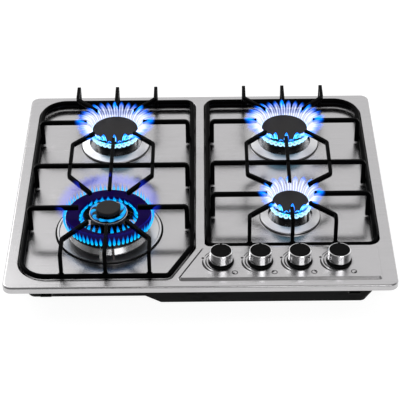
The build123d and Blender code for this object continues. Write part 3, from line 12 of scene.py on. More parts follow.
import bmesh
import bpy
from mathutils import Matrix, Vector, noise


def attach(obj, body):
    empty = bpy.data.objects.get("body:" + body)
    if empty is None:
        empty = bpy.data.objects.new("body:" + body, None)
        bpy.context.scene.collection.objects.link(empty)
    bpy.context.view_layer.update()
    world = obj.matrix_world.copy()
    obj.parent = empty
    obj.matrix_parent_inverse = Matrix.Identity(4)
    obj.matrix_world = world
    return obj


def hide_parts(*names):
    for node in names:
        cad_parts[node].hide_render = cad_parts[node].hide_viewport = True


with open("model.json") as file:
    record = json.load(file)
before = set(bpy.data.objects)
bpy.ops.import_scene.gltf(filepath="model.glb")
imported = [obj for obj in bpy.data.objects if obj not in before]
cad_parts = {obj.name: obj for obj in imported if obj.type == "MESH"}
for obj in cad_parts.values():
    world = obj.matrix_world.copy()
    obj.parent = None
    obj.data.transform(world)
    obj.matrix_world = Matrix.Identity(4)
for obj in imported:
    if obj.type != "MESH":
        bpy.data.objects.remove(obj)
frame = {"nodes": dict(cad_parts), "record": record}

MM = 0.001
WHITE, BLACK = (1.0, 1.0, 1.0, 1.0), (0.0, 0.0, 0.0, 1.0)
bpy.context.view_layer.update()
nodes = frame["nodes"]

# %% [markdown]
# ## The camera
# The photograph looks down on the cooktop from the front at about 37 degrees, with a long
# lens. The angles were found by laying the panel's corners, the burners and the knobs over
# the picture. A camera's matrix has its right, up and backward directions as columns, so it
# is built from those instead of from three turning angles.

# %% Camera
CAMERA_DOWN = radians(36.86)
CAMERA_TURN = radians(-0.39)
CAMERA_ROLL = radians(-0.77)
CAMERA_FAR = 2.336
CAMERA_AIM = Vector((-0.0001, -0.0441, 0.057))
SENSOR_MM = 36.0
LENS_MM = 134.0
CLIP = (0.05, 50.0)

forward = Vector((
    sin(CAMERA_TURN) * cos(CAMERA_DOWN),
    cos(CAMERA_TURN) * cos(CAMERA_DOWN),
    -sin(CAMERA_DOWN),
))
level_right = Vector((cos(CAMERA_TURN), -sin(CAMERA_TURN), 0.0))
level_up = level_right.cross(forward)
right = level_right * cos(CAMERA_ROLL) + level_up * sin(CAMERA_ROLL)
up = level_up * cos(CAMERA_ROLL) - level_right * sin(CAMERA_ROLL)

camera = bpy.data.objects.new("camera", bpy.data.cameras.new("camera"))
camera.data.sensor_width = SENSOR_MM
camera.data.lens = LENS_MM
camera.data.clip_start, camera.data.clip_end = CLIP
axes = Matrix((right, up, -forward)).transposed().to_4x4()
camera.matrix_world = Matrix.Translation(CAMERA_AIM - forward * CAMERA_FAR) @ axes
bpy.context.scene.collection.objects.link(camera)
bpy.context.scene.camera = camera
print("camera at", [round(v, 3) for v in camera.matrix_world.translation])

# %% [markdown]
# ## Node helpers
# Materials are graphs of nodes. Typing the same few lines for every link is tiring, so a
# small class adds a node, sets its plain values and joins its sockets.

# %% A small graph helper
class Graph:
    """Adds nodes to one node tree and joins them."""

    def __init__(self, tree):
        self.tree = tree

    def add(self, kind, settings=None, **values):
        node = self.tree.nodes.new(kind)
        for key, value in (settings or {}).items():
            setattr(node, key, value)
        for key, value in values.items():
            self.put(node, key, value)
        return node

    def put(self, node, key, value):
        """Links or sets one input, given by name or number."""
        if isinstance(value, bpy.types.NodeSocket):
            self.tree.links.new(value, node.inputs[key])
        else:
            node.inputs[key].default_value = value

    def math(self, operation, a, b=0.0, c=None, clamp=False):
        node = self.add("ShaderNodeMath", {"operation": operation, "use_clamp": clamp})
        for index, value in enumerate((a, b, c)):
            if value is not None:
                self.put(node, index, value)
        return node.outputs[0]

    def ramp(self, value, low, high, out_low=0.0, out_high=1.0):
        """Maps a value from one range to another, smoothly and clamped."""
        node = self.add("ShaderNodeMapRange", {"interpolation_type": "SMOOTHSTEP"})
        for key, number in zip(("Value", "From Min", "From Max", "To Min", "To Max"),
                               (value, low, high, out_low, out_high)):
            self.put(node, key, number)
        return node.outputs[0]

    def mix(self, factor, a, b):
        """Blends two colours; a mix node keeps these at its inputs 6 and 7 and output 2."""
        node = self.add("ShaderNodeMix", {"data_type": "RGBA"})
        for index, value in ((0, factor), (6, a), (7, b)):
            self.put(node, index, value)
        return node.outputs[2]


def new_group(name, inputs, outputs):
    """Empty node group with named sockets; returns its graph, entry and exit nodes."""
    tree = bpy.data.node_groups.new(name, "ShaderNodeTree")
    for label, value in inputs.items():
        kind = "NodeSocketVector" if isinstance(value, tuple) else "NodeSocketFloat"
        socket = tree.interface.new_socket(name=label, in_out="INPUT", socket_type=kind)
        socket.default_value = value
    for label in outputs:
        tree.interface.new_socket(name=label, in_out="OUTPUT", socket_type="NodeSocketFloat")
    graph = Graph(tree)
    return graph, tree.nodes.new("NodeGroupInput"), tree.nodes.new("NodeGroupOutput")


def rgb(r, g, b):
    return (r, g, b, 1.0)


def principled(material):
    return material.node_tree.nodes["Principled BSDF"]


def new_material(name):
    """Material with its graph and its Principled shader."""
    material = bpy.data.materials.new(name)
    material.use_nodes = True
    return material, Graph(material.node_tree), principled(material)


# %% [markdown]
# ## Finishes that several materials share
# Rolled steel carries fine parallel grain, touched metal carries faint smudges, and painted
# or cast parts rub bright along their edges. The black enamel caps get painted shade along
# their edges instead, and the sheet gets painted shade where other things stand close above
# it. Each of these effects is one node group. It gives out a mask or a height only, and the
# material decides what to do with it.

# %% Grain: streaks that are long one way and narrow the other
g, entry, leave = new_group("brushed_grain", {"Stretch": (1.0, 1.0, 1.0)}, ["Mask"])
place = g.add("ShaderNodeTexCoord")
scaled = g.add("ShaderNodeVectorMath", {"operation": "MULTIPLY"})
g.put(scaled, 0, place.outputs["Object"])
g.put(scaled, 1, entry.outputs["Stretch"])
streaks = g.add("ShaderNodeTexNoise", Vector=scaled.outputs[0], Scale=1.0, Detail=3.0)
g.put(leave, "Mask", g.ramp(streaks.outputs[0], 0.2, 0.8))

# %% Smudges: slow clouds broken up by finer ones
g, entry, leave = new_group("smudges", {"Size mm": 60.0, "Amount": 0.5}, ["Mask"])
place = g.add("ShaderNodeTexCoord")
wide = g.math("DIVIDE", 1000.0, entry.outputs["Size mm"])
cloud = g.add("ShaderNodeTexNoise", Vector=place.outputs["Object"], Scale=wide, Detail=4.0)
fine = g.add("ShaderNodeTexNoise", Vector=place.outputs["Object"], Detail=2.0)
g.put(fine, "Scale", g.math("MULTIPLY", wide, 5.0))
clouds, grains = g.ramp(cloud.outputs[0], 0.42, 0.7), g.ramp(fine.outputs[0], 0.3, 0.75)
both = g.math("MULTIPLY", clouds, grains)
g.put(leave, "Mask", g.math("MULTIPLY", both, entry.outputs["Amount"]))

# %% Edges, for wear and for painted shade: where a rounded normal leaves the true one
g, entry, leave = new_group("edge_wear_and_shade_mask", {"Reach mm": 0.4, "Amount": 1.0}, ["Mask"])
rounded = g.add("ShaderNodeBevel", {"samples": 4})
g.put(rounded, "Radius", g.math("MULTIPLY", entry.outputs["Reach mm"], MM))
surface = g.add("ShaderNodeNewGeometry")
dot = g.add("ShaderNodeVectorMath", {"operation": "DOT_PRODUCT"})
g.put(dot, 0, rounded.outputs[0])
g.put(dot, 1, surface.outputs["Normal"])
turned_away = g.ramp(g.math("SUBTRACT", 1.0, dot.outputs["Value"]), 0.02, 0.25)
g.put(leave, "Mask", g.math("MULTIPLY", turned_away, entry.outputs["Amount"]))

# %% Fine skin: the slight unevenness of enamel, casting and moulding
g, entry, leave = new_group("fine_skin", {"Size mm": 1.0}, ["Height"])
place = g.add("ShaderNodeTexCoord")
grains = g.math("DIVIDE", 1000.0, entry.outputs["Size mm"])
skin = g.add("ShaderNodeTexNoise", Vector=place.outputs["Object"], Scale=grains, Detail=3.0)
g.put(leave, "Height", skin.outputs[0])

# %% Painted shade: the colour darkens where other things stand close above the surface
g, entry, leave = new_group("painted_close_shade", {"Reach mm": 12.0, "Amount": 1.0}, ["Mask"])
around = g.add("ShaderNodeAmbientOcclusion", {"samples": 8})
g.put(around, "Distance", g.math("MULTIPLY", entry.outputs["Reach mm"], MM))
close_shade = g.ramp(g.math("SUBTRACT", 1.0, around.outputs["AO"]), 0.22, 0.62)
g.put(leave, "Mask", g.math("MULTIPLY", close_shade, entry.outputs["Amount"]))
print("node groups", [t.name for t in bpy.data.node_groups])

# %% [markdown]
# ## A recipe for metals and paints
# Most finishes here differ only in a few numbers: colour, roughness, how strong the grain
# is and what colour the edges take, for wear and as painted shade. One function builds the
# graph and each finish passes its own values. Numbers that stay the same all over a surface
# are set straight on the shader. Where other things stand close above, it can also paint
# shade into the colour.

# %% Material builder
SMUDGE_DULLS = 0.6
SMUDGE_TONE = 0.8
UNSHADED_FADE = 6.0


def use(group, g, **values):
    """Places a shared group in a material with its own values."""
    return g.add("ShaderNodeGroup", {"node_tree": bpy.data.node_groups[group]}, **values)


def distance_from_axis(g, x, y):
    """Level distance, in metres, of the shaded point from an upright line."""
    flat = g.add("ShaderNodeVectorMath", {"operation": "MULTIPLY"})
    g.put(flat, 0, g.add("ShaderNodeTexCoord").outputs["Object"])
    g.put(flat, 1, (1.0, 1.0, 0.0))
    from_axis = g.add("ShaderNodeVectorMath", {"operation": "DISTANCE"})
    g.put(from_axis, 0, flat.outputs[0])
    g.put(from_axis, 1, (x * MM, y * MM, 0.0))
    return from_axis.outputs["Value"]


def finish(name, color, rough, metal=0.0, grain=None, grain_rough=0.0, grain_tone=0.0,
           smudge=0.0, smudge_mm=60.0, skin_mm=0.0, skin_depth=0.0, edge_wear_and_shade=None,
           edge_reach_mm=0.4, edge_amount=0.5, shade_mm=0.0, shade_amount=0.0, specular=0.5,
           aniso=0.0, round_about="Z", unshaded_round=()):
    """Principled material from the shared groups. It can paint shade where other things stand
    close above, and leaves that painted shade off in the round spots listed as (x, y, radius)."""
    material, g, shader = new_material(name)
    g.put(shader, "Metallic", metal)
    g.put(shader, "Specular IOR Level", specular)
    g.put(shader, "Anisotropic", aniso)
    if aniso:
        tangent = g.add("ShaderNodeTangent", {"direction_type": "RADIAL", "axis": round_about})
        g.put(shader, "Tangent", tangent.outputs[0])
    tone, roughness = rgb(*color), rough
    if grain:
        streaks = use("brushed_grain", g, Stretch=grain)
        dark = rgb(*(c * (1.0 - grain_tone) for c in color))
        tone = g.mix(streaks.outputs["Mask"], dark, rgb(*color))
        roughness = g.math("MULTIPLY_ADD", streaks.outputs["Mask"], grain_rough, rough)
    if smudge:
        marks = use("smudges", g, **{"Size mm": smudge_mm, "Amount": smudge})
        roughness = g.math("ADD", roughness, marks.outputs["Mask"], clamp=True)
        duller = g.math("MULTIPLY", marks.outputs["Mask"], SMUDGE_DULLS)
        tone = g.mix(duller, tone, rgb(*(c * SMUDGE_TONE for c in color)))
    # Edges take the given colour: lighter where they rub bare, and darker as painted shade on
    # the enamel caps.
    if edge_wear_and_shade:
        edges = use("edge_wear_and_shade_mask", g, **{"Reach mm": edge_reach_mm, "Amount": edge_amount})
        tone = g.mix(edges.outputs["Mask"], tone, rgb(*edge_wear_and_shade))
    # Painted shade: the tone goes toward black where other things stand close above, except in
    # the listed round spots.
    if shade_mm:
        close_shade = use("painted_close_shade", g, **{"Reach mm": shade_mm, "Amount": shade_amount})
        amount = close_shade.outputs["Mask"]
        for x, y, r in unshaded_round:
            away = g.ramp(distance_from_axis(g, x, y), (r - UNSHADED_FADE) * MM, (r + UNSHADED_FADE) * MM)
            amount = g.math("MULTIPLY", amount, away)
        tone = g.mix(amount, tone, BLACK)
    if skin_mm:
        skin = use("fine_skin", g, **{"Size mm": skin_mm})
        bump = g.add("ShaderNodeBump", Height=skin.outputs["Height"])
        g.put(bump, "Strength", 1.0)
        g.put(bump, "Distance", skin_depth * MM)
        g.put(shader, "Normal", bump.outputs[0])
    g.put(shader, "Base Color", tone)
    g.put(shader, "Roughness", roughness)
    return material


# %% The finishes
SIDE_X = 139.5
REAR_Y, SMALL_Y, TRIPLE_Y = 122.0, -79.0, -109.5
BURNERS = {
    "rear_left": (-SIDE_X, REAR_Y), "rear_right": (SIDE_X, REAR_Y),
    "front_right": (SIDE_X, SMALL_Y), "triple": (-SIDE_X, TRIPLE_Y),
}
# Round the burners the painted shade under the bars above is left off out to these radii.
UNSHADED_R = {"rear_left": 76.0, "rear_right": 76.0, "front_right": 70.0, "triple": 100.0}
sheet_steel = finish("sheet_steel", (0.53, 0.522, 0.53), 0.19, 1.0, grain=(24.0, 2600.0, 200.0),
                     grain_rough=0.05, grain_tone=0.12, smudge=0.06, smudge_mm=80.0,
                     shade_mm=14.0, shade_amount=0.96, aniso=0.75, round_about="Y",
                     unshaded_round=[(*BURNERS[burner], r) for burner, r in UNSHADED_R.items()])
black_zinc = finish("black_zinc", (0.012, 0.012, 0.012), 0.42, 0.6, smudge=0.2, smudge_mm=8.0,
                    edge_wear_and_shade=(0.05, 0.05, 0.05), specular=0.2)
polished_steel = finish("polished_steel", (0.74, 0.74, 0.75), 0.33, 1.0, smudge=0.10,
                        smudge_mm=25.0, aniso=0.6)
chrome = finish("chrome", (0.80, 0.80, 0.81), 0.07, 1.0, smudge=0.08, smudge_mm=12.0)
zinc_steel = finish("zinc_steel", (0.50, 0.50, 0.49), 0.35, 1.0, smudge=0.2, smudge_mm=8.0,
                    skin_mm=0.8, skin_depth=0.01)
brass = finish("brass", (0.72, 0.52, 0.24), 0.28, 1.0, smudge=0.25, smudge_mm=7.0,
               edge_wear_and_shade=(0.85, 0.70, 0.40))
cast_alloy = finish("cast_alloy", (0.50, 0.50, 0.51), 0.42, 1.0, skin_mm=0.9, skin_depth=0.05,
                    smudge=0.2, smudge_mm=10.0, edge_wear_and_shade=(0.7, 0.7, 0.71))
drawn_tube = finish("drawn_tube", (0.62, 0.62, 0.63), 0.30, 1.0, smudge=0.2, smudge_mm=14.0)
# The crowns are cast aluminium; their near-black colour is painted shade from under their caps,
# and their edges rub lighter.
shaded_crown_alloy = finish("shaded_crown_alloy", (0.035, 0.034, 0.035), 0.34, 0.7, skin_mm=0.7,
                      skin_depth=0.03, smudge=0.2, smudge_mm=14.0, edge_wear_and_shade=(0.14, 0.14, 0.15),
                      specular=0.4)
cup_alloy = finish("cup_alloy", (0.52, 0.52, 0.53), 0.24, 1.0, smudge=0.2, smudge_mm=16.0,
                   aniso=0.5)
# The caps' rounded edges are made darker than their faces: painted shade.
cap_enamel = finish("cap_enamel", (0.022, 0.020, 0.020), 0.42, 0.0, skin_mm=0.8,
                    skin_depth=0.010, smudge=0.12, smudge_mm=18.0, edge_wear_and_shade=(0.003, 0.003, 0.003),
                    edge_reach_mm=1.2, edge_amount=0.9, specular=0.12)
# The triple ring cap is black enamel with the flames' blue light painted into its colour, and
# painted shade along its edges.
flame_lit_ring_enamel = finish("flame_lit_ring_enamel", (0.009, 0.001, 0.075), 0.34, 0.0, skin_mm=0.8,
                     skin_depth=0.010, smudge=0.12, smudge_mm=22.0, edge_wear_and_shade=(0.002, 0.002, 0.012),
                     edge_reach_mm=1.2, edge_amount=0.9, specular=0.02)
support_enamel = finish("support_enamel", (0.001, 0.001, 0.0012), 0.34, 0.0, skin_mm=1.6,
                        skin_depth=0.015, smudge=0.12, smudge_mm=20.0,
                        edge_wear_and_shade=(0.003, 0.003, 0.004), specular=0.02)
tray_enamel = finish("tray_enamel", (0.0015, 0.0015, 0.0018), 0.45, 0.0, skin_mm=1.4,
                     skin_depth=0.02, smudge=0.2, smudge_mm=70.0, edge_wear_and_shade=(0.006, 0.006, 0.006),
                     specular=0.02)
seal_foam = finish("seal_foam", (0.012, 0.012, 0.012), 0.9, 0.0, skin_mm=0.5, skin_depth=0.1,
                   smudge=0.05, specular=0.2)
black_rubber = finish("black_rubber", (0.006, 0.006, 0.006), 0.6, 0.0, skin_mm=0.5,
                      skin_depth=0.02, smudge=0.2, smudge_mm=9.0, specular=0.06)
disc_plastic = finish("disc_plastic", (0.003, 0.003, 0.0032), 0.24, 0.0, skin_mm=0.6,
                      skin_depth=0.004, smudge=0.10, smudge_mm=10.0, specular=0.03)
box_plastic = finish("box_plastic", (0.03, 0.03, 0.03), 0.55, 0.0, skin_mm=0.5,
                     skin_depth=0.02, smudge=0.1, edge_wear_and_shade=(0.08, 0.08, 0.08))
white_ceramic = finish("white_ceramic", (0.80, 0.79, 0.76), 0.18, 0.0, skin_mm=1.0,
                       skin_depth=0.008, smudge=0.15, smudge_mm=6.0)
probe_steel = finish("probe_steel", (0.20, 0.18, 0.17), 0.4, 1.0, smudge=0.3, smudge_mm=4.0,
                     edge_wear_and_shade=(0.4, 0.38, 0.36))
print("finishes", len(bpy.data.materials))

# %% [markdown]
# ## Dress the CAD nodes
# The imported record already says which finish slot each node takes, so one table from slot
# to material dresses them all.

# %% Slot to material
slot_finish = {
    "steel_sheet": sheet_steel, "tray_enamel": tray_enamel, "seal_foam": seal_foam,
    "zinc_steel": zinc_steel, "brass": brass, "tap_alloy": cast_alloy,
    "pipe_aluminium": drawn_tube, "white_ceramic": white_ceramic,
    "probe_steel": probe_steel, "box_plastic": box_plastic, "black_rubber": black_rubber,
    "cup_aluminium": cup_alloy, "polished_trim": polished_steel,
    "crown_aluminium": shaded_crown_alloy, "cap_enamel": cap_enamel,
    "support_enamel": support_enamel, "knob_chrome": chrome, "disc_plastic": disc_plastic,
}
node_slot = {row["node"]: row["material_slot"] for row in frame["record"]["subparts"]}
for name, obj in nodes.items():
    obj.data.materials.clear()
    obj.data.materials.append(slot_finish[node_slot[name]])

# Two nodes differ from the rest of their slot: a cap tinted blue with painted flame light, and
# blackened clamps.
nodes["triple_ring_cap"].data.materials[0] = flame_lit_ring_enamel
nodes["worktop_clamps"].data.materials[0] = black_zinc

print("dressed", len(nodes), "nodes")

# %% [markdown]
# ## A painted reflection and a two-tone crown
# The pressed walls of the two recesses would mirror the dark supports, and that reflection is
# painted into their colour as near black. They are the steep parts of the sheet below its rim
# and clear of its outer skirt. The triple crown is machined bright between its hub and its
# ring, and elsewhere it is near black, which is painted shade as on the other crowns.

# %% Recess walls: painted reflection
WALL_NORMAL = (0.82, 0.97)
BELOW_RIM_Z = (56.6, 57.0)
EDGE_X, EDGE_Y = (270.0, 274.0), (240.0, 244.0)


def over_color(material, mask_of, color):
    """Lays a colour over a finish where the mask that mask_of(graph) gives is 1."""
    g, shader = Graph(material.node_tree), principled(material)
    below = shader.inputs["Base Color"].links[0].from_socket
    g.put(shader, "Base Color", g.mix(mask_of(g), below, rgb(*color)))


def painted_wall_reflection(g):
    normal, spot = (g.add("ShaderNodeSeparateXYZ") for _ in range(2))
    g.put(normal, "Vector", g.add("ShaderNodeNewGeometry").outputs["Normal"])
    g.put(spot, "Vector", g.add("ShaderNodeTexCoord").outputs["Object"])
    mask = g.ramp(normal.outputs["Z"], *WALL_NORMAL, 1.0, 0.0)
    below_rim = g.ramp(spot.outputs["Z"], *(z * MM for z in BELOW_RIM_Z), 1.0, 0.0)
    mask = g.math("MULTIPLY", mask, below_rim)
    for axis, edge in (("X", EDGE_X), ("Y", EDGE_Y)):
        out = g.math("ABSOLUTE", spot.outputs[axis])
        mask = g.math("MULTIPLY", mask, g.ramp(out, *(e * MM for e in edge), 1.0, 0.0))
    return mask


# The steep recess walls get a near-black colour: painted reflection of the dark wire and
# supports.
over_color(sheet_steel, painted_wall_reflection, (0.02, 0.02, 0.022))

# %% Triple crown: machined bright, with painted shade elsewhere
HUB_R, RING_R = (27.9, 28.5), (45.5, 46.5)


def between_hub_and_ring(g):
    r = distance_from_axis(g, *BURNERS["triple"])
    beyond_hub = g.ramp(r, *(e * MM for e in HUB_R))
    return g.math("MULTIPLY", beyond_hub, g.ramp(r, *(e * MM for e in RING_R), 1.0, 0.0))


# Near black like the other crowns, which is painted shade; bright where machined between hub
# and ring.
bright_and_shaded_crown = finish("crown_bright_and_shaded", (0.035, 0.034, 0.035), 0.30, 1.0, smudge=0.15,
                  smudge_mm=14.0)
over_color(bright_and_shaded_crown, between_hub_and_ring, (0.66, 0.64, 0.65))
nodes["triple_crown"].data.materials[0] = bright_and_shaded_crown
print("changed with place", [sheet_steel.name, bright_and_shaded_crown.name])

# %% [markdown]
# ## Shapes from points
# The pieces added here are swept or turned from short lists of points in millimetres. A sweep
# carries a cross-section along a path. Its width stays level, because the sideways direction
# at each point is taken from the path's own heading seen from above.

# %% Shape helpers
STEEP = 0.2


def soften(points, radii, steps=6):
    """Replaces the inner corners of a line by arcs."""
    soft = [points[0]]
    for before, corner, after, r in zip(points, points[1:], points[2:], radii):
        a = (corner - before).normalized()
        b = (after - corner).normalized()
        half = a.angle(b) / 2
        middle = corner + (b - a).normalized() * (r / cos(half))
        arm = corner - a * (r * tan(half)) - middle
        spin = a.cross(b).normalized()
        for k in range(steps + 1):
            soft.append(middle + Matrix.Rotation(2 * half * k / steps, 3, spin) @ arm)
    soft.append(points[-1])
    return soft


def rounded_section(width, height, r, steps=4):
    """Points of a rounded rectangle round the origin."""
    points = []
    for quarter, (sx, sy) in enumerate(((1, 1), (-1, 1), (-1, -1), (1, -1))):
        x, y = sx * (width / 2 - r), sy * (height / 2 - r)
        for k in range(steps + 1):
            turn = (quarter + k / steps) * pi / 2
            points.append((x + r * cos(turn), y + r * sin(turn)))
    return points


def sweep(path, section, scales=None, first_side=None):
    """Vertices and faces of a section carried along a path, with both ends closed. Where
    the path runs steeply its heading from above is lost, so it keeps the last sideways one."""
    sides, side = [], first_side
    for i in range(len(path)):
        ahead = path[min(i + 1, len(path) - 1)] - path[max(i - 1, 0)]
        level = Vector((ahead.x, ahead.y, 0))
        if level.length > STEEP * ahead.length:
            side = level.cross(Vector((0, 0, 1))).normalized()
        sides.append((side, ahead.normalized()))
    count = len(section)
    verts, faces = [], []
    for i, (point, (side, ahead)) in enumerate(zip(path, sides)):
        upward = side.cross(ahead)
        scale = scales[i] if scales else 1.0
        verts += [point + (side * x + upward * y) * scale for x, y in section]
        if i:
            for k in range(count):
                a, b = (i - 1) * count + k, (i - 1) * count + (k + 1) % count
                faces.append((a, b, b + count, a + count))
    faces.append(tuple(range(count)))
    faces.append(tuple(reversed(range(len(verts) - count, len(verts)))))
    return verts, faces


def join(parts):
    """Several (vertices, faces) pairs as one."""
    verts, faces = [], []
    for more_verts, more_faces in parts:
        start = len(verts)
        verts += more_verts
        faces += [tuple(start + i for i in face) for face in more_faces]
    return verts, faces


def make_piece(name, shape, material, body, sharp=40.0):
    """Mesh object from millimetre points that rides a body."""
    verts, faces = shape
    mesh = bpy.data.meshes.new(name)
    mesh.from_pydata([Vector(v) * MM for v in verts], [], faces)
    mesh.validate()
    work = bmesh.new()
    work.from_mesh(mesh)
    bmesh.ops.recalc_face_normals(work, faces=work.faces)
    work.to_mesh(mesh)
    work.free()
    mesh.shade_smooth()
    mesh.set_sharp_from_angle(angle=radians(sharp))
    mesh.materials.append(material)
    obj = bpy.data.objects.new(name, mesh)
    bpy.context.scene.collection.objects.link(obj)
    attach(obj, body)
    return obj


def blob(centre, radii, seed, steps=10, lump=0.18):
    """Lumpy ball, as weld metal freezes."""
    verts, faces = [], []
    for i in range(steps + 1):
        tilt = pi * i / steps
        for k in range(2 * steps):
            turn = tau * k / (2 * steps)
            way = Vector((sin(tilt) * cos(turn), sin(tilt) * sin(turn), cos(tilt)))
            swell = 1.0 + lump * noise.noise(way * 1.7 + Vector((seed, 0, 0)))
            verts.append(Vector(c + w * r * swell for c, w, r in zip(centre, way, radii)))
            if i:
                a = (i - 1) * 2 * steps + k
                b = (i - 1) * 2 * steps + (k + 1) % (2 * steps)
                faces.append((a, b, b + 2 * steps, a + 2 * steps))
    return verts, faces


# %% [markdown]
# ## Bars of the pan supports
# The CAD bars have square corners. The real ones are drawn bar with rounded edges and an
# enamel skin that softens them further, so each set of bars is swept again along the same
# lines with a rounded section. They stand for the CAD nodes they cover.

# %% Bars
BAR_W, BAR_H, BAR_ROUND = 5.6, 7.0, 0.7
BAR_MID, LEG_FOOT = 93.6, 52.2
BAR_BEND, KINK_BEND = 5.0, 8.0
SIDE_BAR, LEG_SIDE = 65.0, 123.1
EASE_AT, EASE_SCALES = (0.45, 1.4), (0.72, 0.93)
bar_section = rounded_section(BAR_W, BAR_H, BAR_ROUND)


def ease_points(tip, near):
    """Points close to a bar's tip, where its section still grows."""
    inward = (near - tip).normalized()
    return [tip + inward * d for d in EASE_AT]


def bar(points, radii, first_side=None):
    """One bar with its ends eased over."""
    path = soften([Vector(p) for p in points], radii)
    path[1:1] = ease_points(path[0], path[1])
    path[-1:-1] = reversed(ease_points(path[-1], path[-2]))
    scales = [*EASE_SCALES, *[1.0] * (len(path) - 4), *reversed(EASE_SCALES)]
    return sweep(path, bar_section, scales, first_side)


def finger(x, y, turn, tip, face):
    """Bar from over the burner out to its leg, straight as seen from above."""
    out = Vector((cos(turn), sin(turn), 0))
    centre = Vector((x, y, 0))
    leg = face - BAR_H / 2
    points = [centre + out * r + Vector((0, 0, z))
              for r, z in ((tip, BAR_MID), (leg, BAR_MID), (leg, LEG_FOOT))]
    return bar(points, [BAR_BEND])


def slant_tip(x, y, hand, way, tip, kink):
    """Where a slanting bar ends, tip away from the burner's axis."""
    slant = hypot(SIDE_BAR, kink)
    return (x + hand * SIDE_BAR * tip / slant, y + way * kink * tip / slant, BAR_MID)


def kinked_finger(x, y, hand, way, tip, kink, face):
    """Side bar: towards the burner, then straight to its leg."""
    side_x = x + hand * SIDE_BAR
    leg_y = y + way * (face - BAR_H / 2)
    points = [slant_tip(x, y, hand, way, tip, kink), (side_x, y + way * kink, BAR_MID),
              (side_x, leg_y, BAR_MID), (side_x, leg_y, LEG_FOOT)]
    return bar(points, [KINK_BEND, BAR_BEND])


def end_bars(x, y, way, kink, tips, face):
    """The five bars at one end of a support; tips are side, slant and end."""
    side_tip, slant, end_tip = tips
    shapes = [finger(x, y, way * pi / 2, end_tip, face)]
    shapes += [kinked_finger(x, y, hand, way, slant, kink, face) for hand in (-1, 1)]
    shapes += [finger(x, y, turn, side_tip, LEG_SIDE) for turn in (0.0, pi)]
    return join(shapes)


def mid_bars(x, mid_y, rear, front):
    """Cross bar on two legs and the three bars over it; rear and front are y, tips, kink."""
    leg = LEG_SIDE - BAR_H / 2
    cross = [(x - leg, mid_y, LEG_FOOT), (x - leg, mid_y, BAR_MID),
             (x + leg, mid_y, BAR_MID), (x + leg, mid_y, LEG_FOOT)]
    shapes = [bar(cross, [BAR_BEND, BAR_BEND], Vector((0, -1, 0)))]
    (y0, slant0, end0, kink0), (y1, slant1, end1, kink1) = rear, front
    shapes.append(bar([(x, y0 - end0, BAR_MID), (x, y1 + end1, BAR_MID)], []))
    for hand in (-1, 1):
        side_x = x + hand * SIDE_BAR
        points = [slant_tip(x, y0, hand, -1, slant0, kink0), (side_x, y0 - kink0, BAR_MID),
                  (side_x, y1 + kink1, BAR_MID), slant_tip(x, y1, hand, 1, slant1, kink1)]
        shapes.append(bar(points, [KINK_BEND, KINK_BEND]))
    return join(shapes)


# x and the y of the cross bar; for each end the burner's y, where its side bars kink, the
# tips and how far out the legs stand; then y, slanting tip, middle tip and kink of the bars
# that run from the cross bar to each burner.
supports = {
    "left": (-SIDE_X, 0.0, (REAR_Y, 68.0, (46.0, 45.0, 48.0), 108.6),
             (TRIPLE_Y, 78.5, (45.0, 45.0, 45.0), 118.1),
             (REAR_Y, 45.0, 48.0, 65.0), (TRIPLE_Y, 45.0, 45.0, 81.0)),
    "right": (SIDE_X, 4.0, (REAR_Y, 68.0, (46.0, 45.0, 48.0), 108.6),
              (SMALL_Y, 56.0, (36.0, 36.0, 36.0), 71.6),
              (REAR_Y, 45.0, 48.0, 65.0), (SMALL_Y, 36.0, 31.0, 51.0)),
}
for side, (x, mid_y, rear, front, rear_mid, front_mid) in supports.items():
    body = f"{side}_support"
    sets = {
        "rear_fingers": end_bars(x, rear[0], 1, rear[1], rear[2], rear[3]),
        "front_fingers": end_bars(x, front[0], -1, front[1], front[2], front[3]),
        "mid_frame": mid_bars(x, mid_y, rear_mid, front_mid),
    }
    for name, shape in sets.items():
        piece = make_piece(f"{body}_{name}_bars", shape, support_enamel, body)
        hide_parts(f"{body}_{name}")
print("bars swept for", list(supports))

# %% [markdown]
# ## Weld beads
# Each leg is welded to the rim wire from both sides. The beads are small lumpy balls that
# overlap the bar and the wire, under the same enamel.

# %% Beads
WIRE_Z, LOW_WIRE_Z = 59.0, 53.0
BEAD_RADII = (1.7, 1.7, 1.9)
BEAD_OUT = 2.9
BEAD_RISES = (2.2, -0.4)
for side, (x, mid_y, rear, front, rear_mid, front_mid) in supports.items():
    front_z = LOW_WIRE_Z if side == "right" else WIRE_Z
    spots = []
    for (y, _, _, face), way, z in ((rear, 1, WIRE_Z), (front, -1, front_z)):
        for bar_x in (-SIDE_BAR, 0.0, SIDE_BAR):
            spots.append((x + bar_x, y + way * face, 1, 0, z))
    for y in (rear[0], front[0], mid_y):
        for hand in (-1, 1):
            spots.append((x + hand * LEG_SIDE, y, 0, 1, WIRE_Z))
    beads = []
    for n, (bx, by, along_x, along_y, z) in enumerate(spots):
        for way in (-1, 1):
            for k, rise in enumerate(BEAD_RISES):
                out = way * BEAD_OUT
                centre = (bx + out * along_x, by + out * along_y, z + rise)
                beads.append(blob(centre, BEAD_RADII, n * 4 + k + way))
    body = f"{side}_support"
    make_piece(f"{body}_beads", join(beads), support_enamel, body)
print("beads on", list(supports))

# %% [markdown]
# ## Seams and painted shade round the dishes
# Each trim dish sits on the panel with a dark joint round its foot, and the black ring laid
# there also stands for the shade under the dish's rim. The line is widest round the triple
# burner, where the sheet has a groove for the dish.

# %% Seams with painted shade
SEAM_SHADE_Z, SEAM_SHADE_RISE = 49.1, 0.35
SEAM_SHADE_HALF, GROOVE_SHADE_HALF = 0.6, 1.5
SEAM_SHADE_SIDES = 8


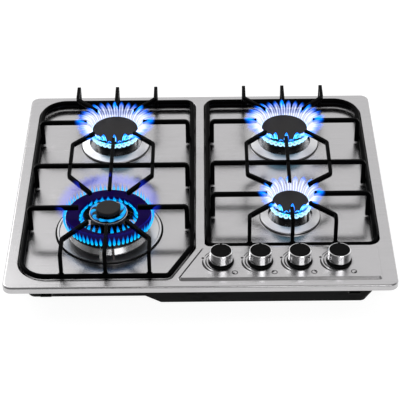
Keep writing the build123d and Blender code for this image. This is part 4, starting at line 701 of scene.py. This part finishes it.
def ring_round(x, y, r, z, across, high, steps=96):
    """Thin closed ring with an oval section, given by its half width and half height."""
    verts, faces = [], []
    n = SEAM_SHADE_SIDES
    for k in range(steps):
        turn = tau * k / steps
        here, ahead = k * n, (k + 1) % steps * n
        for j in range(n):
            out = r + across * cos(tau * j / n)
            rise = high * sin(tau * j / n)
            verts.append(Vector((x + out * cos(turn), y + out * sin(turn), z + rise)))
            after = (j + 1) % n
            faces.append((here + j, ahead + j, ahead + after, here + after))
    return verts, faces


seam_shades = []
for burner in ("rear_left", "rear_right", "front_right", "triple"):
    dish_r = nodes[f"{burner}_trim_dish"].dimensions.x / MM / 2
    half = GROOVE_SHADE_HALF if burner == "triple" else SEAM_SHADE_HALF
    seam_shades.append(ring_round(*BURNERS[burner], dish_r + half, SEAM_SHADE_Z, half, SEAM_SHADE_RISE))
# The black ring is the dish's seam and also painted shade under its rim.
make_piece("dish_seam_shades", join(seam_shades), black_rubber, "hob")
print("seam_shades", len(seam_shades))

# %% [markdown]
# ## Printed marks
# Every knob has a setting scale on its left, a dot and tapering arcs for off, high and low,
# and to its lower right a ring whose dot says which burner it serves. They are flat ink, a
# few hundredths of a millimetre above the sheet.

# %% Marks
INK_Z = 60.56
KNOB_X = (31.0, 89.3, 147.6, 205.9)
KNOB_Y = -201.0
SERVES = ((-1, -1), (-1, 1), (1, 1), (1, -1))
OFF_DOT = (-27.0, 8.0, 2.1)
SCALE_ARCS = ((27.2, 170, 243, 3.4, 0.8), (22.6, 165, 240, 2.4, 0.8),
              (27.0, 124, 154, 1.3, 0.7), (23.4, 118, 162, 1.6, 0.7))
RING_AT, RING_MARK_R, RING_THICK = (20.0, -26.0), 3.9, 1.3
RING_DOT_OUT, RING_DOT_R = 2.0, 1.8


def flat_arc(x, y, r, start, end, thick, thin, steps=36):
    """Curved stroke that is thickest in its middle."""
    verts, faces = [], []
    for k in range(steps + 1):
        t = k / steps
        turn = radians(start + (end - start) * t)
        half = (thin + (thick - thin) * sin(pi * t)) / 2
        for q in (r - half, r + half):
            verts.append(Vector((x + q * cos(turn), y + q * sin(turn), INK_Z)))
        if k:
            faces.append((2 * k - 2, 2 * k - 1, 2 * k + 1, 2 * k))
    return verts, faces


def flat_dot(x, y, r, steps=24):
    turns = [tau * k / steps for k in range(steps)]
    verts = [Vector((x + r * cos(turn), y + r * sin(turn), INK_Z)) for turn in turns]
    return verts, [tuple(range(steps))]


ink = finish("ink", (0.003, 0.003, 0.003), 0.5, 0.0, skin_mm=0.3, skin_depth=0.004,
             smudge=0.1, smudge_mm=6.0)
for n, (x, (right_hand, rear_hand)) in enumerate(zip(KNOB_X, SERVES), start=1):
    dot_x, dot_y, dot_r = OFF_DOT
    strokes = [flat_dot(x + dot_x, KNOB_Y + dot_y, dot_r)]
    strokes += [flat_arc(x, KNOB_Y, *arc) for arc in SCALE_ARCS]
    ring_x, ring_y = x + RING_AT[0], KNOB_Y + RING_AT[1]
    strokes.append(flat_arc(ring_x, ring_y, RING_MARK_R, 0, 360, RING_THICK, RING_THICK))
    strokes.append(flat_dot(ring_x + RING_DOT_OUT * right_hand,
                            ring_y + RING_DOT_OUT * rear_hand, RING_DOT_R))
    make_piece(f"marks_{n}", join(strokes), ink, "hob")
print("marks for", len(KNOB_X), "knobs")

# %% [markdown]
# ## Small things underneath
# The gas inlet is a plain cylinder in the CAD model. A fine ridge wound round it reads as
# its pipe thread.

# %% Thread ridge
INLET_X, INLET_Y = 232, 204
THREAD_R, THREAD_FOOT, THREAD_PITCH, THREAD_TURNS = 10.42, 3.6, 1.8, 7.6
STEPS_A_TURN = 40
RIDGE_OUT, RIDGE_HIGH, RIDGE_SIDES = 0.55, 0.5, 6
helix = []
for k in range(int(THREAD_TURNS * STEPS_A_TURN) + 1):
    turn = tau * k / STEPS_A_TURN
    helix.append(Vector((INLET_X + THREAD_R * cos(turn), INLET_Y + THREAD_R * sin(turn),
                         THREAD_FOOT + THREAD_PITCH * k / STEPS_A_TURN)))
corners = [tau * k / RIDGE_SIDES for k in range(RIDGE_SIDES)]
ridge = [(RIDGE_OUT * cos(turn), RIDGE_HIGH * sin(turn)) for turn in corners]
make_piece("inlet_thread", sweep(helix, ridge), brass, "hob")
print("thread points", len(helix))

# %% [markdown]
# ## Flames
# A gas flame adds light to what is behind it. Over bright steel it looks pale violet with
# fine white streaks, and over black iron it looks deep blue. Each burner wears a skirt of
# flame, a thin closed sheet that rises from the ports and leans outward into tongues. Three
# numbers stored on its points drive its colour and how clear it is: how far along the flame a
# point lies, how far it lies from the middle of its tongue, and a local one that says where
# black iron lies below, or for the haze how thick it is.

# %% Flame materials
IN_MIRRORS, HAZE_IN_MIRRORS = 0.1, 0.08


def glow_shader(name, strength):
    """Material that only glows; returns it with its graph and shader."""
    material, g, shader = new_material(name)
    g.put(shader, "Base Color", BLACK)
    g.put(shader, "Specular IOR Level", 0.0)
    g.put(shader, "Roughness", 1.0)
    g.put(shader, "Emission Strength", strength)
    return material, g, shader


def stored(g, name):
    return g.add("ShaderNodeAttribute", {"attribute_name": name}).outputs["Fac"]


def unseen_in_mirrors(g, alpha, share):
    """Lets only a share of a flame show in polished metal."""
    mirror = g.add("ShaderNodeLightPath").outputs["Is Glossy Ray"]
    kept = g.math("MULTIPLY_ADD", mirror, share - 1.0, 1.0)
    return g.math("MULTIPLY", alpha, kept, clamp=True)


def skirt_paint(name):
    """Sheet of flame with streaks, from pale over steel to deep blue over iron."""
    material, g, shader = glow_shader(name, 4.0)
    along, across, dark = stored(g, "along"), stored(g, "across"), stored(g, "local")
    # Pale over steel, deep blue over iron, and bluer towards the tips.
    late = g.ramp(along, 0.45, 0.85)
    light = g.mix(late, rgb(0.42, 0.50, 1.0), rgb(0.0, 0.13, 1.0))
    deep = g.mix(g.ramp(along, 0.0, 0.5), rgb(0.03, 0.66, 1.0), rgb(0.0, 0.17, 1.0))
    body_color = g.mix(dark, light, deep)
    streak_color = g.mix(dark, rgb(0.85, 0.92, 1.0), rgb(0.30, 0.80, 1.0))
    # A streak runs up each side of a tongue and breaks into wisps.
    streak = g.math("MULTIPLY", g.ramp(across, 0.28, 0.5), g.ramp(across, 0.5, 0.74, 1.0, 0.0))
    streak = g.math("MULTIPLY", streak, g.ramp(along, 0.35, 0.95, 1.0, 0.0))
    wisps = g.add("ShaderNodeTexNoise", Scale=260.0, Detail=2.0)
    streak = g.math("MULTIPLY", streak, g.ramp(wisps.outputs[0], 0.35, 0.65, 0.25, 1.0))
    g.put(shader, "Emission Color", g.mix(streak, body_color, streak_color))
    # The sheet parts between the tongues, fades at its tips and is thicker over iron.
    apart = g.math("MULTIPLY", g.ramp(across, 0.4, 0.95), g.ramp(along, 0.3, 0.75))
    body = g.math("SUBTRACT", 1.0, apart)
    body = g.math("MULTIPLY", body, g.ramp(along, 0.7, 1.0, 0.075, 0.0))
    body = g.math("MULTIPLY", body, g.math("MULTIPLY_ADD", dark, 1.8, 1.0))
    body = g.math("MULTIPLY", body, g.math("MULTIPLY_ADD", late, 1.5, 1.0))
    foot = g.math("MULTIPLY", g.ramp(along, 0.0, 0.3, 0.30, 0.0), dark)
    body = g.math("ADD", body, foot)
    alpha = g.math("MULTIPLY_ADD", streak, g.math("MULTIPLY_ADD", dark, 0.15, 0.20), body)
    g.put(shader, "Alpha", unseen_in_mirrors(g, alpha, IN_MIRRORS))
    return material


def tongue_paint(name, root, middle, tip, clear, strength):
    """Small bright tongue; clear gives the opacity at the root, the middle and the tip."""
    material, g, shader = glow_shader(name, strength)
    along = stored(g, "along")
    early, late = g.ramp(along, 0.0, 0.45), g.ramp(along, 0.4, 1.0)
    color = g.mix(early, rgb(*root), rgb(*middle))
    g.put(shader, "Emission Color", g.mix(late, color, rgb(*tip)))
    at_root, at_middle, at_tip = clear
    fade = g.math("MULTIPLY_ADD", early, at_middle - at_root, at_root)
    fade = g.math("MULTIPLY_ADD", late, at_tip - at_middle, fade)
    g.put(shader, "Alpha", unseen_in_mirrors(g, fade, IN_MIRRORS))
    return material


def haze_paint(name, color, thick, strength):
    """Even glow that thins out along the flame."""
    material, g, shader = glow_shader(name, strength)
    g.put(shader, "Emission Color", rgb(*color))
    along = stored(g, "along")
    begins, ends = g.ramp(along, 0.1, 0.4, 0.0, thick), g.ramp(along, 0.45, 1.0, 1.0, 0.0)
    fade = g.math("MULTIPLY", begins, ends)
    fade = g.math("MULTIPLY", fade, stored(g, "local"))
    g.put(shader, "Alpha", unseen_in_mirrors(g, fade, HAZE_IN_MIRRORS))
    return material


mantle = skirt_paint("flame_mantle")
core = tongue_paint("flame_core", (0.02, 0.60, 1.0), (0.0, 0.42, 1.0), (0.0, 0.16, 1.0),
                    (0.70, 0.55, 0.10), 1.6)
swirl = tongue_paint("flame_swirl", (0.0, 0.35, 1.0), (0.01, 0.48, 1.0), (0.0, 0.20, 1.0),
                     (0.35, 0.60, 0.05), 1.4)
bright = tongue_paint("flame_bright", (0.10, 0.55, 1.0), (0.55, 0.85, 1.0), (0.05, 0.40, 1.0),
                      (0.50, 0.50, 0.10), 2.2)
veil = haze_paint("flame_veil", (0.012, 0.045, 1.0), 0.085, 2.4)
print("flame materials", [m.name for m in (mantle, core, swirl, bright, veil)])

# %% Flame shapes
# The powers below bend the curves: a skirt shoots up and then leans out, a tongue leans out
# and then rises.
SKIRT_THICK = 0.6
SKIRT_TURN = 0.5
TIP_R = 0.25
TONGUE_SIDES, TONGUE_FLAT = 10, 0.7


def skirt(x, y, r0, z0, rise, ports, reach_at, height_at, dips, local, whole=None, fine=8,
          steps=14):
    """Closed double sheet of flame; returns its mesh and the three numbers of its points.
    It is cut into tongues except where whole gives 1. Port 0 faces the front."""
    loop = [(s / steps, 0.0) for s in range(steps + 1)]
    loop += [(s / steps, SKIRT_THICK) for s in range(steps, -1, -1)]
    verts, faces = [], []
    numbers = {"along": [], "across": [], "local": []}
    count = ports * fine
    for i in range(count):
        port = i / fine
        k = int(port + 0.5)
        offset = port - k
        beside = height_at((k + (1 if offset > 0 else -1)) % ports)
        turn = tau * i / count - pi / 2
        across = abs(2 * offset) * (1.0 - (whole(turn) if whole else 0.0))
        top = height_at(k % ports)
        dip = min(top, beside) * (1 - dips)
        tall = dip + (top - dip) * (1 - across ** 1.6)
        reach = reach_at(turn, k % ports) * (0.78 + 0.22 * tall)
        for t, inward in loop:
            turned = turn + SKIRT_TURN * pi / ports * t * t
            r = r0 + reach * t ** 1.5 - inward
            z = z0 + rise * tall * (1 - (1 - t) ** 3.4) - inward
            verts.append(Vector((x + r * cos(turned), y + r * sin(turned), z)))
            numbers["along"].append(t)
            numbers["across"].append(across)
            numbers["local"].append(local(turned, r))
        n = len(loop)
        for j in range(n):
            a, b = i * n + j, i * n + (j + 1) % n
            c, d = (i + 1) % count * n + (j + 1) % n, (i + 1) % count * n + j
            faces.append((a, b, c, d))
    return (verts, faces), numbers


def tongue(x, y, turn, r0, z0, reach, rise, fat, slim, steps, sway=0.0):
    """Closed tapering tube from a port, outward and up, with its place along the flame."""
    path, widths, place = [], [], []
    for k in range(steps + 1):
        t = k / steps
        r = r0 + reach * (1 - (1 - t) ** 1.7)
        turned = turn + sway * t * t
        path.append(Vector((x + r * cos(turned), y + r * sin(turned), z0 + rise * t ** 1.35)))
        widths.append(TIP_R + (fat - TIP_R) * sin(pi * min(1.0, t * 1.02) ** slim) ** 0.8)
        place.append(t)
    corners = [tau * k / TONGUE_SIDES for k in range(TONGUE_SIDES)]
    section = [(cos(corner), TONGUE_FLAT * sin(corner)) for corner in corners]
    verts, faces = sweep(path, section, widths)
    return verts, faces, [t for t in place for _ in section]


def flame_piece(name, shape, numbers, material, body):
    """Flame that rides a body and keeps the numbers of its points."""
    obj = make_piece(name, shape, material, body, sharp=180.0)
    for key, values in numbers.items():
        field = obj.data.attributes.new(key, "FLOAT", "POINT")
        field.data.foreach_set("value", values)
    return obj


def tongues(name, shapes, material, body):
    """One piece from many tongues."""
    shape = join([(verts, faces) for verts, faces, _ in shapes])
    places = [t for _, _, along in shapes for t in along]
    return flame_piece(name, shape, {"along": places}, material, body)


def jitter(n, scale, seed=0.0):
    """The same small uneven number each time, so that no two flames are alike."""
    return scale * noise.noise(Vector((n * 3.7 + seed, seed, 1.3)))


def steps_between(value, low, high):
    """0 below low, 1 above high and smooth in between."""
    t = min(1.0, max(0.0, (value - low) / (high - low)))
    return t * t * (3 - 2 * t)


# %% Flames of the capped burners
FLAME_TOP = 98.9
REACH, LESS_BEHIND, LESS_IN_FRONT, REACH_JITTER = 32.0, 11.0, 23.0, 0.10
FULL_REACH = 30.0
TALL, TALL_JITTER, SHORT_ONES = 0.97, 0.06, 0.5
SKIRT_SINK, SKIRT_IN, SKIRT_DIPS = 3.0, 0.2, 0.35
ROOT_SINK, ROOT_RISE, ROOT_FAT, ROOT_SLIM = 4.5, 12.0, 3.9, 0.7
# Sines of the turn between which the flames in front stand upright, or have the cap behind.
UPRIGHT, BEFORE_CAP = (0.78, 0.98), (0.66, 0.86)
# A bar darkens a strip this wide, which fades at its sides and starts beyond the ports.
STRIP, STRIP_FADE, STRIP_STARTS = 6.2, 2.6, (6.0, 9.0)
SIDE_BAR_SINE, SIDE_BAR_FADE = 0.12, 0.06
REAR_BARS = (0.0, 90.0, 180.0, 270.0, 46.3, 133.7, 225.0, 315.0)
SMALL_BARS = (0.0, 90.0, 180.0, 270.0, 38.1, 141.9, 220.7, 319.3)
# radius and number of the ports, their height, how far the flames reach, and the bars' angles
capped = {
    "rear_left": (36.0, 30, 73.0, 30.0, REAR_BARS),
    "rear_right": (36.0, 30, 73.0, 30.0, REAR_BARS),
    "front_right": (27.0, 22, 72.0, 24.0, SMALL_BARS),
}


def upright(turn):
    """1 straight in front, where the flames stand before the cap, else 0."""
    return steps_between(-sin(turn), *UPRIGHT)


def over_side_bar(turn):
    """1 along the two bars that point left and right."""
    return steps_between(SIDE_BAR_SINE - abs(sin(turn)), 0.0, SIDE_BAR_FADE)


def capped_flames(name, seed, r, ports, z, reach, bars):
    """The skirt of one capped burner and the bright roots at its ports."""
    def reach_at(turn, k):
        out = REACH - LESS_BEHIND * max(0.0, sin(turn)) ** 3 - LESS_IN_FRONT * upright(turn)
        return reach / FULL_REACH * out * (1 + jitter(k, REACH_JITTER, seed))

    def height_at(k):
        short = SHORT_ONES if k % 2 else 0.0
        tall = TALL + jitter(k, TALL_JITTER, seed + 5)
        return tall * (1.0 - short * upright(tau * k / ports - pi / 2))

    def iron(turn, at_r):
        """1 over a bar and in front of the black cap."""
        beside = min(abs((turn - radians(way) + pi) % tau - pi) for way in bars)
        on_bar = steps_between(STRIP - beside * at_r, 0.0, STRIP_FADE)
        on_bar *= steps_between(at_r, *(r + start for start in STRIP_STARTS))
        return max(on_bar, steps_between(-sin(turn), *BEFORE_CAP))

    x, y = BURNERS[name]
    body = f"{name}_crown"
    shape, numbers = skirt(x, y, r - SKIRT_IN, z - SKIRT_SINK, FLAME_TOP - z + SKIRT_SINK,
                           ports, reach_at, height_at, SKIRT_DIPS, iron, over_side_bar)
    flame_piece(f"{name}_flames", shape, numbers, mantle, body)
    roots = [tongue(x, y, tau * k / ports - pi / 2, r, z - ROOT_SINK, ROOT_SINK, ROOT_RISE,
                    ROOT_FAT, ROOT_SLIM, steps=8) for k in range(ports)]
    tongues(f"{name}_flame_roots", roots, bright, body)


for seed, (name, measures) in enumerate(capped.items()):
    capped_flames(name, seed, *measures)
print("flames on", list(capped))

# %% Flames of the triple burner
HAZE_R, HAZE_FOOT, HAZE_PORTS, HAZE_DIPS = 64.0, 73.0, 54, 0.1
HAZE_REACH, MORE_BEHIND, HAZE_JITTER = 19.0, 6.0, 2.0
HAZE_FRONT, HAZE_FULL_FROM = 0.12, -0.65


def tongue_ring(name, material, count, shift, r, z, reach, rise, fat, slim, steps, sway=0.0):
    """Tongues evenly round the triple burner. Reach and rise are each a length, the size of
    its jitter and the jitter's seed."""
    (far, *far_jitter), (tall, *tall_jitter) = reach, rise
    shapes = [tongue(*BURNERS["triple"], tau * (k + shift) / count, r, z,
                     far + jitter(k, *far_jitter), tall + jitter(k, *tall_jitter), fat,
                     slim, steps, sway) for k in range(count)]
    tongues(f"triple_flame_{name}", shapes, material, "triple_crown")


def haze_reach(turn, k):
    return HAZE_REACH + MORE_BEHIND * max(0.0, sin(turn)) + jitter(k, HAZE_JITTER, 4)


def haze_body(turn, at_r):
    """Full at the back and thin in front, where the burner shows through."""
    return HAZE_FRONT + (1.0 - HAZE_FRONT) * steps_between(sin(turn), HAZE_FULL_FROM, 0.0)


tongue_ring("teeth", core, 63, 0.0, 66.6, 71.5, (2.6, 1.2), (17.0, 3.5, 2), 2.1, 0.8, 10)
tongue_ring("drops", core, 27, 0.0, 47.0, 72.5, (-8.0, 0.0), (13.0, 2.0, 6), 2.5, 0.7, 10)
tongue_ring("curls", swirl, 10, 0.5, 18.0, 83.5, (9.5, 0.0), (7.0, 2.0, 8), 2.5, 0.9, 12,
            sway=1.0)
shape, numbers = skirt(*BURNERS["triple"], HAZE_R, HAZE_FOOT, FLAME_TOP - HAZE_FOOT, HAZE_PORTS,
                       haze_reach, lambda k: 1.0, HAZE_DIPS, haze_body, fine=4, steps=8)
flame_piece("triple_flame_haze", shape, numbers, veil, "triple_crown")
print("flames on triple")

# %% [markdown]
# ## The studio
# The photograph is a cut-out on white. A pale floor lies under the tray. It glows a little
# for the camera and for reflections only, so it reads white without throwing extra light on
# the cooktop, and its matt part still catches the shadow. The world is plain white for the
# camera. For mirrors and for lighting it is a room with a bright wall behind the cooktop, a
# dark front and a bright ground.

# %% Floor
FLOOR_SIZE = 6.0
FLOOR_DROP = 0.0005
FLOOR_GLOW = 0.92
floor_mesh = bpy.data.meshes.new("floor")
half = FLOOR_SIZE / 2
corners = [(-half, -half, 0), (half, -half, 0), (half, half, 0), (-half, half, 0)]
floor_mesh.from_pydata(corners, [], [(0, 1, 2, 3)])
floor = bpy.data.objects.new("floor", floor_mesh)
floor.location.z = -FLOOR_DROP
bpy.context.scene.collection.objects.link(floor)

floor_paint, g, shader = new_material("floor_paint")
g.put(shader, "Base Color", rgb(0.25, 0.25, 0.25))
g.put(shader, "Roughness", 1.0)
g.put(shader, "Specular IOR Level", 0.0)
path = g.add("ShaderNodeLightPath")
seen = g.math("MAXIMUM", path.outputs["Is Camera Ray"], path.outputs["Is Glossy Ray"])
seen = g.math("MAXIMUM", seen, path.outputs["Is Transmission Ray"])
g.put(shader, "Emission Color", g.mix(seen, BLACK, WHITE))
g.put(shader, "Emission Strength", FLOOR_GLOW)
floor_mesh.materials.append(floor_paint)
print("floor", FLOOR_SIZE, "m wide")

# %% World
DARK_FRONT, GROUND = 0.20, 0.8
world = bpy.data.worlds.new("studio")
bpy.context.scene.world = world
world.use_nodes = True
g = Graph(world.node_tree)
background = world.node_tree.nodes["Background"]
path = g.add("ShaderNodeLightPath")
place = g.add("ShaderNodeTexCoord")
parts = g.add("ShaderNodeSeparateXYZ", Vector=place.outputs["Generated"])
behind = g.ramp(parts.outputs["Y"], -0.25, 0.55, DARK_FRONT, 1.0)
low = g.ramp(parts.outputs["Z"], -0.15, 0.12, 1.0, 0.0)
lift = g.math("MAXIMUM", behind, g.math("MULTIPLY", low, GROUND))
room = g.mix(lift, BLACK, WHITE)
seen = g.math("MAXIMUM", path.outputs["Is Camera Ray"], path.outputs["Is Transmission Ray"])
g.put(background, "Color", g.mix(seen, room, WHITE))
g.put(background, "Strength", 1.0)
print("world", world.name)

# %% Lamps
def soft_box(name, place, aim, size, power):
    """Large rectangular lamp that faces a point."""
    lamp = bpy.data.lights.new(name, "AREA")
    lamp.shape = "RECTANGLE"
    lamp.size, lamp.size_y = size
    lamp.energy = power
    obj = bpy.data.objects.new(name, lamp)
    obj.location = place
    obj.rotation_euler = (Vector(aim) - Vector(place)).to_track_quat("-Z", "Y").to_euler()
    bpy.context.scene.collection.objects.link(obj)


soft_box("rear_left_box", (-1.4, 1.5, 1.5), (-0.2, 0, 0), (1.2, 1.2), 14.0)
soft_box("front_box", (0.6, -1.8, 1.6), (0, 0, 0), (1.4, 0.7), 10.0)

# %% Colour view
bpy.context.scene.view_settings.view_transform = "Standard"
